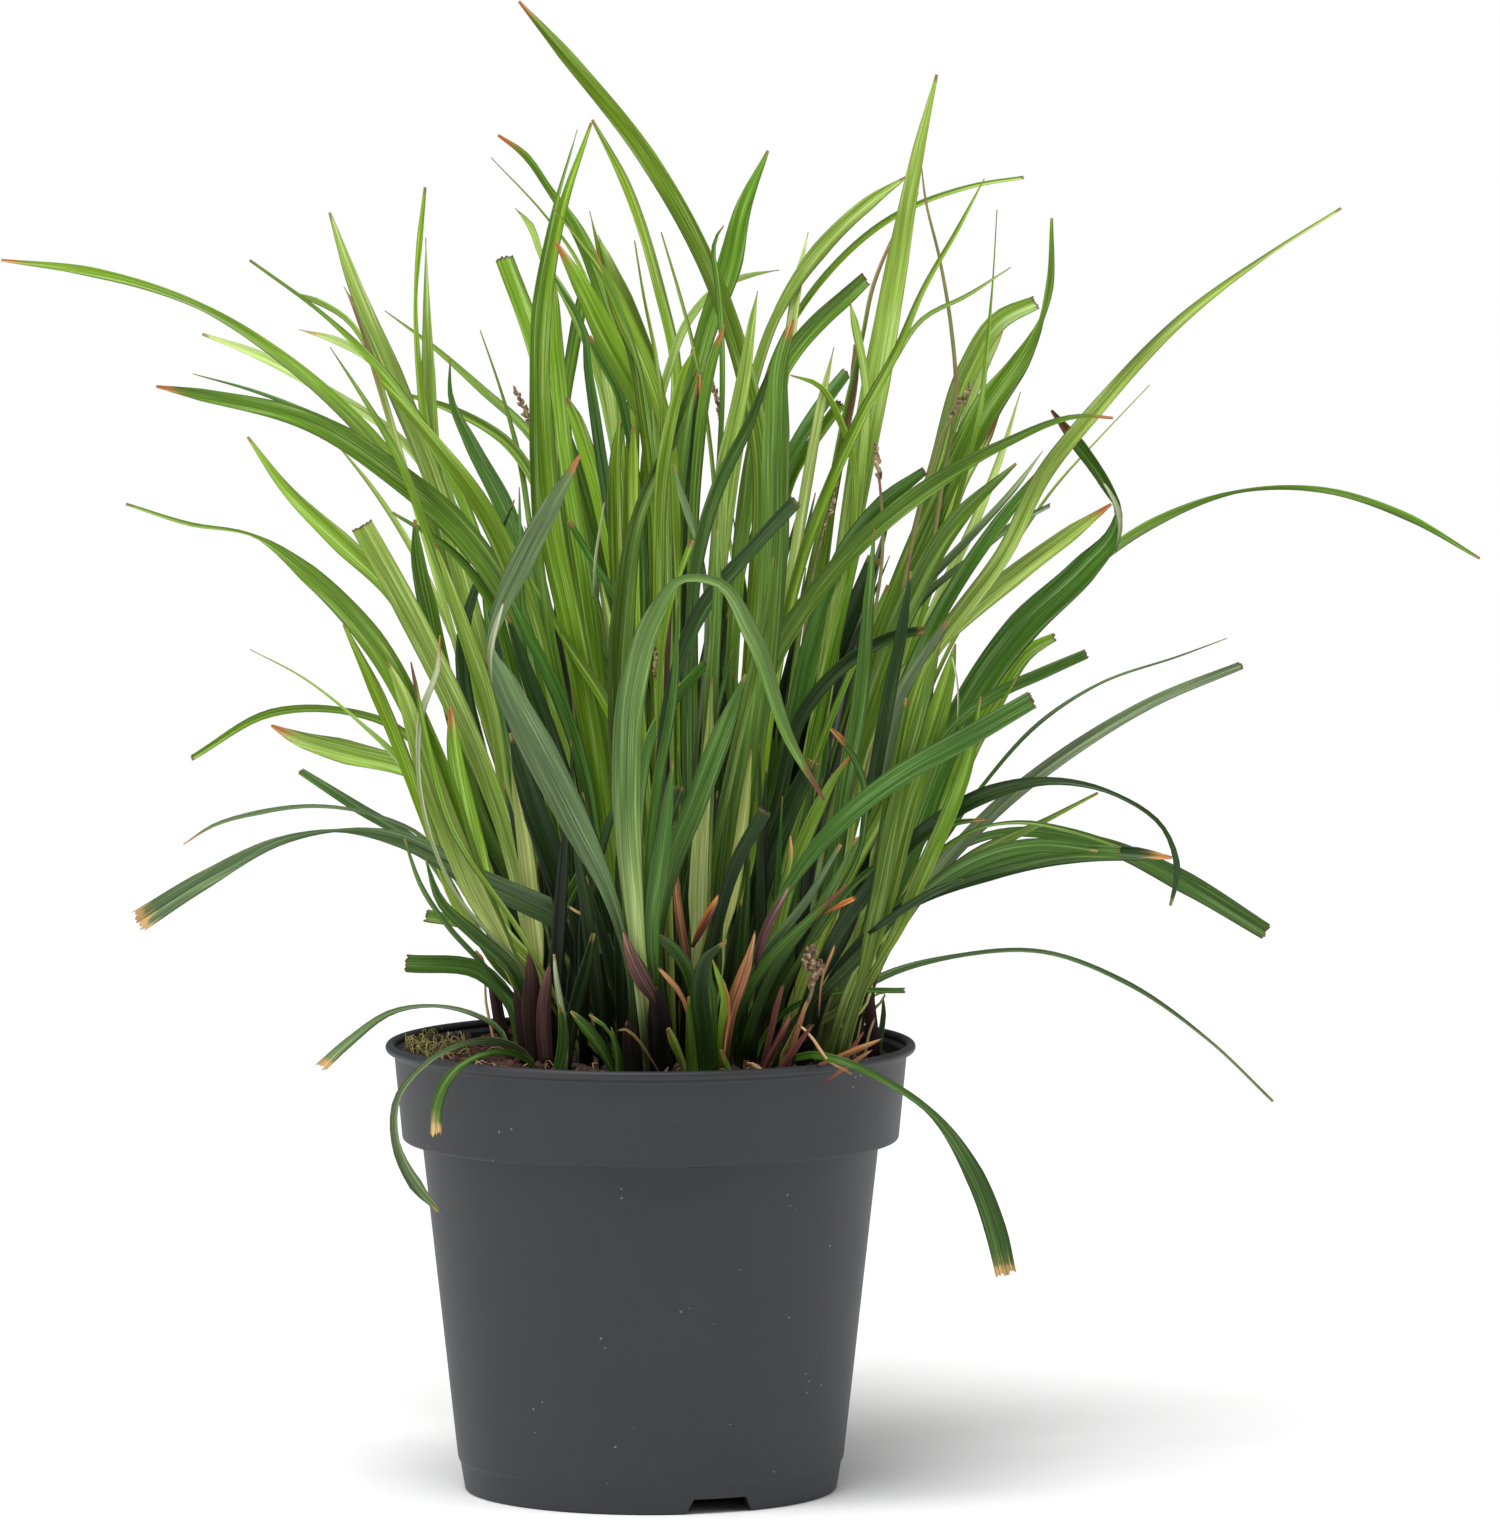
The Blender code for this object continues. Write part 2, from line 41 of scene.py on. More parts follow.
# Camera.
# The camera stands 4.2 m in front of the pot, 0.64 m up, and looks 5.2 degrees down.
EYE = np.array((35.6, -4200.0, 641.4))
camera = bpy.data.objects.new("camera", bpy.data.cameras.new("camera"))
camera.data.sensor_width = 36.0
camera.data.sensor_fit = "VERTICAL"
camera.data.sensor_height = 36.0
camera.data.lens = 36.0 * 11800 / 1523
camera.data.clip_end = 100.0
camera.location = EYE * MM
camera.rotation_euler = (np.pi / 2 - 0.09014, 0, 0)
bpy.context.scene.collection.objects.link(camera)
bpy.context.scene.camera = camera


# Floor and light: a plain white floor under a soft studio light, as in the photo.
def srgb(code, alpha=1.0):
    """Linear RGBA of an sRGB hex colour: c / 12.92 below 0.04045, else ((c + .055) / 1.055)^2.4."""
    c = np.array([int(code[i:i + 2], 16) for i in (1, 3, 5)]) / 255
    return (*np.where(c < 0.04045, c / 12.92, ((c + 0.055) / 1.055) ** 2.4), alpha)


def material(name):
    """An empty node material with its Principled shader: (material, tree, shader)."""
    made = bpy.data.materials.new(name)
    made.use_nodes = True
    return made, made.node_tree, made.node_tree.nodes["Principled BSDF"]


def grid_mesh(name, verts, faces, look, smooth=True):
    """Object of numpy points in mm and quads or faces, with one material."""
    mesh = bpy.data.meshes.new(name)
    mesh.from_pydata((np.asarray(verts) * MM).tolist(), [], [list(f) for f in faces])
    mesh.materials.append(look)
    if smooth:
        mesh.shade_smooth()
    made = bpy.data.objects.new(name, mesh)
    bpy.context.scene.collection.objects.link(made)
    return made


floor_look, tree, shader = material("studio_floor")
shader.inputs["Base Color"].default_value = srgb("#FFFFFF")
shader.inputs["Roughness"].default_value = 0.9
shader.inputs["Specular IOR Level"].default_value = 0.1
side = 60000.0
floor = grid_mesh("studio_floor", [(-side, -side, 0), (side, -side, 0), (side, side, 0),
                                   (-side, side, 0)], [(0, 1, 2, 3)], floor_look, False)

world = bpy.data.worlds.new("studio")
world.use_nodes = True
world.node_tree.nodes["Background"].inputs[0].default_value = (1, 1, 1, 1)
world.node_tree.nodes["Background"].inputs[1].default_value = 0.25
bpy.context.scene.world = world
bpy.context.scene.view_settings.view_transform = "Standard"
bpy.context.scene.view_settings.look = "None"

# A wide overhead light for the plant and the whole floor, and two tall soft boxes at the sides.
overhead = bpy.data.objects.new("overhead", bpy.data.lights.new("overhead", "SUN"))
overhead.data.energy, overhead.data.angle = 2.6, np.radians(36)
overhead.rotation_euler = (np.radians(18), np.radians(-8), 0)
bpy.context.scene.collection.objects.link(overhead)
for x, y, z, wide, high, power in ((-1.5, -0.9, 1.0, 0.7, 1.4, 9), (1.6, -0.5, 1.0, 0.7, 1.4, 7)):
    lamp = bpy.data.lights.new("soft_box", "AREA")
    lamp.shape = "RECTANGLE"
    lamp.size, lamp.size_y, lamp.energy = wide, high, power
    box = bpy.data.objects.new("soft_box", lamp)
    box.location = (x, y, z)
    aim = np.array((0.0, 0.0, 0.28)) - (x, y, z)
    box.rotation_euler = (np.arccos(-aim[2] / np.linalg.norm(aim)), 0,
                          np.arctan2(aim[1], aim[0]) - np.pi / 2)
    bpy.context.scene.collection.objects.link(box)

# Nursery pot.
# Injection-moulded dark grey polypropylene, with a rolled lip, a stacking band and a foot with three drainage notches.
# Fine mould grain and handling dust.
RIM_R, RIM_Z = 95.0, 161.2
BAND_TOP_R, BAND_LOW_R, BAND_LOW_Z = 91.8, 88.9, 126.4
BODY_TOP_R, BODY_LOW_R = 81.5, 69.2
FOOT_R, FOOT_Z, FLOOR_Z, DISC_R, WALL = 66.7, 11.2, 6.4, 22.0, 1.6


def rounded(points, step=1.2, keep=0.5):
    """Profile with each corner replaced by a short arc: P + keep-weighted quadratic blend of
    the corner with points at most `step` mm before and after it."""
    out = [points[0]]
    for a, b, c in zip(points, points[1:], points[2:]):
        a, b, c = (np.array(p, float) for p in (a, b, c))
        before = b + (a - b) * min(keep, step / max(np.linalg.norm(a - b), 1e-6))
        after = b + (c - b) * min(keep, step / max(np.linalg.norm(c - b), 1e-6))
        t = np.linspace(0, 1, 4)[:, None]
        out += [tuple(p) for p in (1 - t) ** 2 * before + 2 * t * (1 - t) * b + t * t * after]
    return out + [points[-1]]


lip = [(RIM_R - 1.8 + 1.75 * np.sin(a), RIM_Z - 1.75 + 1.75 * np.cos(a))
       for a in np.linspace(0, 2.5, 10)]
outside = rounded([lip[-1], (BAND_TOP_R, RIM_Z - 4.2), (BAND_LOW_R, BAND_LOW_Z),
                   (BODY_TOP_R + 0.4, BAND_LOW_Z - 0.5), (BODY_LOW_R, FOOT_Z),
                   (FOOT_R + 1.8, FOOT_Z - 0.5), (FOOT_R, 0.0), (FOOT_R - 2.1, 0.0),
                   (FOOT_R - 2.1, FLOOR_Z), (DISC_R + 2.0, FLOOR_Z), (DISC_R, 0.0), (0.02, 0.0)])
inside = rounded([(0.02, WALL), (DISC_R - 0.6, WALL), (DISC_R + 1.4, FLOOR_Z + WALL),
                  (FOOT_R - 0.4, FLOOR_Z + WALL), (BODY_LOW_R - WALL, FOOT_Z + 0.8),
                  (BODY_TOP_R - WALL, BAND_LOW_Z + 1.0), (BAND_LOW_R - WALL, BAND_LOW_Z + 2.2),
                  (BAND_TOP_R - WALL, RIM_Z - 4.0)])
inner_lip = [(RIM_R - 1.8 + 1.75 * np.sin(a), RIM_Z - 1.75 + 1.75 * np.cos(a))
             for a in np.linspace(-2.1, -0.3, 7)]
profile = np.array(lip + outside[1:] + inside + inner_lip)
TURNS = 160


def turned(profile, turns):
    """Points (r cos t, r sin t, z) of a closed profile, and its quads facing outwards."""
    t = np.linspace(0, 2 * np.pi, turns, endpoint=False)[:, None]
    points = np.stack([profile[:, 0] * np.cos(t), profile[:, 0] * np.sin(t),
                       np.broadcast_to(profile[:, 1], (turns, len(profile)))], -1)
    n = len(profile)
    i, j = np.meshgrid(np.arange(turns), np.arange(n), indexing="ij")
    a, b = i * n + j, i * n + (j + 1) % n
    c, d = (i + 1) % turns * n + (j + 1) % n, (i + 1) % turns * n + j
    return points.reshape(-1, 3), np.stack([a, b, c, d], -1).reshape(-1, 4)


def node(tree, kind, settings=None, **links):
    """A node with its settings, its numbered or named inputs set to a value or a linked socket."""
    made = tree.nodes.new(kind)
    for key, value in (settings or {}).items():
        setattr(made, key, value)
    for key, value in links.items():
        socket = made.inputs[int(key[1:]) if key[0] == "i" and key[1:].isdigit()
                             else key.replace("_", " ")]
        if isinstance(value, bpy.types.NodeSocket):
            tree.links.new(value, socket)
        else:
            socket.default_value = value
    return made


def ramp(tree, fac, stops):
    """Colour ramp through (place, hex colour) stops."""
    made = node(tree, "ShaderNodeValToRGB", i0=fac)
    while len(made.color_ramp.elements) < len(stops):
        made.color_ramp.elements.new(0.5)
    for element, (place, code) in zip(made.color_ramp.elements, stops):
        element.position = place
        element.color = srgb(code)
    return made.outputs[0]


pot_look, tree, shader = material("pot_polypropylene")
place = node(tree, "ShaderNodeTexCoord").outputs["Object"]
cloud = node(tree, "ShaderNodeTexNoise", Vector=place, Scale=22.0, Detail=4.0, Roughness=0.6)
base = ramp(tree, cloud.outputs[0], [(0.3, "#242529"), (0.55, "#28292F"), (0.75, "#2D2E34")])
# Pale dust specks: near-white dots where a fine cell pattern is closest to its points.
cells = node(tree, "ShaderNodeTexVoronoi", {"feature": "F1"}, Vector=place, Scale=230.0)
thin = node(tree, "ShaderNodeTexNoise", Vector=place, Scale=60.0, Detail=1.0)
dots = node(tree, "ShaderNodeMath", {"operation": "LESS_THAN"}, i0=cells.outputs["Distance"], i1=0.1)
some = node(tree, "ShaderNodeMath", {"operation": "GREATER_THAN"}, i0=thin.outputs[0], i1=0.62)
dust = node(tree, "ShaderNodeMath", {"operation": "MULTIPLY"}, i0=dots.outputs[0], i1=some.outputs[0])
dim = node(tree, "ShaderNodeMath", {"operation": "MULTIPLY"}, i0=dust.outputs[0], i1=0.35)
mixed = node(tree, "ShaderNodeMix", {"data_type": "RGBA"}, i0=dim.outputs[0], i6=base,
             i7=srgb("#A9AAAC"))
tree.links.new(mixed.outputs[2], shader.inputs["Base Color"])
grain = node(tree, "ShaderNodeTexNoise", Vector=place, Scale=900.0, Detail=2.0)
bump = node(tree, "ShaderNodeBump", Strength=0.12, Distance=0.0003, Height=grain.outputs[0])
tree.links.new(bump.outputs[0], shader.inputs["Normal"])
rough = node(tree, "ShaderNodeMapRange", Value=cloud.outputs[0], To_Min=0.46, To_Max=0.62)
tree.links.new(rough.outputs[0], shader.inputs["Roughness"])

points, faces = turned(profile, TURNS)
pot = grid_mesh("nursery_pot", points, faces, pot_look)

# Drainage notches through the foot and drain holes in the raised ring of the floor.
NOTCH_TURN, DRAIN_R, DRAIN_RING_R = 22.0, 5.0, 43.0
cut_points, cut_faces = [], []
for turn in np.radians(NOTCH_TURN + np.array((0, 120, 240))):
    first = len(cut_points)
    for out in (60.0, 75.0):
        for half, height in ((-14.0, -3.0), (14.0, -3.0), (10.0, 5.5), (-10.0, 5.5)):
            cut_points.append((half * np.cos(turn) + out * np.sin(turn),
                               half * np.sin(turn) - out * np.cos(turn), height))
    cut_faces += [[first + k for k in f] for f in
                  ((3, 2, 1, 0), (4, 5, 6, 7), (0, 1, 5, 4), (1, 2, 6, 5), (2, 3, 7, 6), (3, 0, 4, 7))]
for turn in np.radians(np.arange(30, 360, 60)):
    first = len(cut_points)
    for height in (FLOOR_Z - 3, FLOOR_Z + 5):
        cut_points += [(DRAIN_RING_R * np.sin(turn) + DRAIN_R * np.cos(a),
                        -DRAIN_RING_R * np.cos(turn) + DRAIN_R * np.sin(a), height)
                       for a in np.linspace(0, 2 * np.pi, 24, endpoint=False)]
    cut_faces += [[first + 23 - k for k in range(24)], [first + 24 + k for k in range(24)]]
    cut_faces += [[first + k, first + (k + 1) % 24, first + 24 + (k + 1) % 24, first + 24 + k]
                  for k in range(24)]
cutter = grid_mesh("drainage_cut", cut_points, cut_faces, pot_look, False)
carve = pot.modifiers.new("drainage", "BOOLEAN")
carve.object, carve.operation, carve.solver = cutter, "DIFFERENCE", "EXACT"
cleared = bpy.data.meshes.new_from_object(pot.evaluated_get(bpy.context.evaluated_depsgraph_get()))
pot.modifiers.clear()
pot.data = cleared
bpy.data.objects.remove(cutter, do_unlink=True)
cleared.shade_smooth()
cleared.set_sharp_from_angle(angle=np.radians(40))
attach(pot, "root")
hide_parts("pot")

# Peat.
# Coarse reddish-brown peat mounded to the lip on the left, with crumbs and fibres on it.
SOIL_Z = 155.0
SOIL_R = BAND_TOP_R - WALL - 0.9


def lumps(x, y, size, count, seed):
    """Smooth random height: sum of `count` plane sine waves of wavelength `size` mm, / sqrt(count)."""
    gen = np.random.default_rng(seed)
    turn, phase = gen.uniform(0, 2 * np.pi, (2, count))
    k = 2 * np.pi / (size * gen.uniform(0.6, 1.6, count))
    wave = np.sin((x[..., None] * np.cos(turn) + y[..., None] * np.sin(turn)) * k + phase)
    return wave.sum(-1) / np.sqrt(count)


def peat_height(x, y):
    """Soil height in mm: the level, a mound to the left edge, a dip on the right and lumps."""
    r = np.hypot(x, y)
    mound = 4.5 * np.exp(-((x + 78) ** 2 + (y + 10) ** 2) / 26 ** 2) - 2.0 * (x > 0) * (x / 90) ** 2
    fine = 1.1 * lumps(x, y, 16, 9, 1) + 0.6 * lumps(x, y, 6, 12, 2) + 0.3 * lumps(x, y, 2.6, 14, 3)
    return SOIL_Z + 0.5 + mound + fine * np.clip((SOIL_R + 3 - r) / 12, 0.25, 1)


rings, spokes = 70, 220
r = SOIL_R * np.sqrt(np.linspace(0, 1, rings))[:, None]
t = np.linspace(0, 2 * np.pi, spokes, endpoint=False)[None, :]
x, y = r * np.cos(t), r * np.sin(t)
top = np.stack([x, y, peat_height(x, y)], -1).reshape(-1, 3)
skirt = np.stack([x[-1], y[-1], np.full(spokes, 146.0)], -1)
i, j = np.meshgrid(np.arange(rings - 1), np.arange(spokes), indexing="ij")
k = (j + 1) % spokes
quads = np.stack([i * spokes + j, (i + 1) * spokes + j, (i + 1) * spokes + k, i * spokes + k], -1)
last = (rings - 1) * spokes
j, k = np.arange(spokes), (np.arange(spokes) + 1) % spokes
wall = np.stack([last + j, last + spokes + j, last + spokes + k, last + k], -1)
peat_faces = quads.reshape(-1, 4).tolist() + wall.tolist()
peat_faces.append([last + spokes + s for s in range(spokes - 1, -1, -1)])

peat_look, tree, shader = material("peat")
place = node(tree, "ShaderNodeTexCoord").outputs["Object"]
clod = node(tree, "ShaderNodeTexNoise", Vector=place, Scale=120.0, Detail=6.0, Roughness=0.7)
warm = ramp(tree, clod.outputs[0], [(0.3, "#1E120E"), (0.5, "#3A241B"), (0.62, "#56362A"),
                                    (0.78, "#7A5540")])
tree.links.new(warm, shader.inputs["Base Color"])
grit = node(tree, "ShaderNodeTexNoise", Vector=place, Scale=420.0, Detail=5.0, Roughness=0.75)
bump = node(tree, "ShaderNodeBump", Strength=0.8, Distance=0.0012, Height=grit.outputs[0])
tree.links.new(bump.outputs[0], shader.inputs["Normal"])
shader.inputs["Roughness"].default_value = 0.95
peat = grid_mesh("peat", np.concatenate([top, skirt]), peat_faces, peat_look)
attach(peat, "root")
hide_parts("soil")

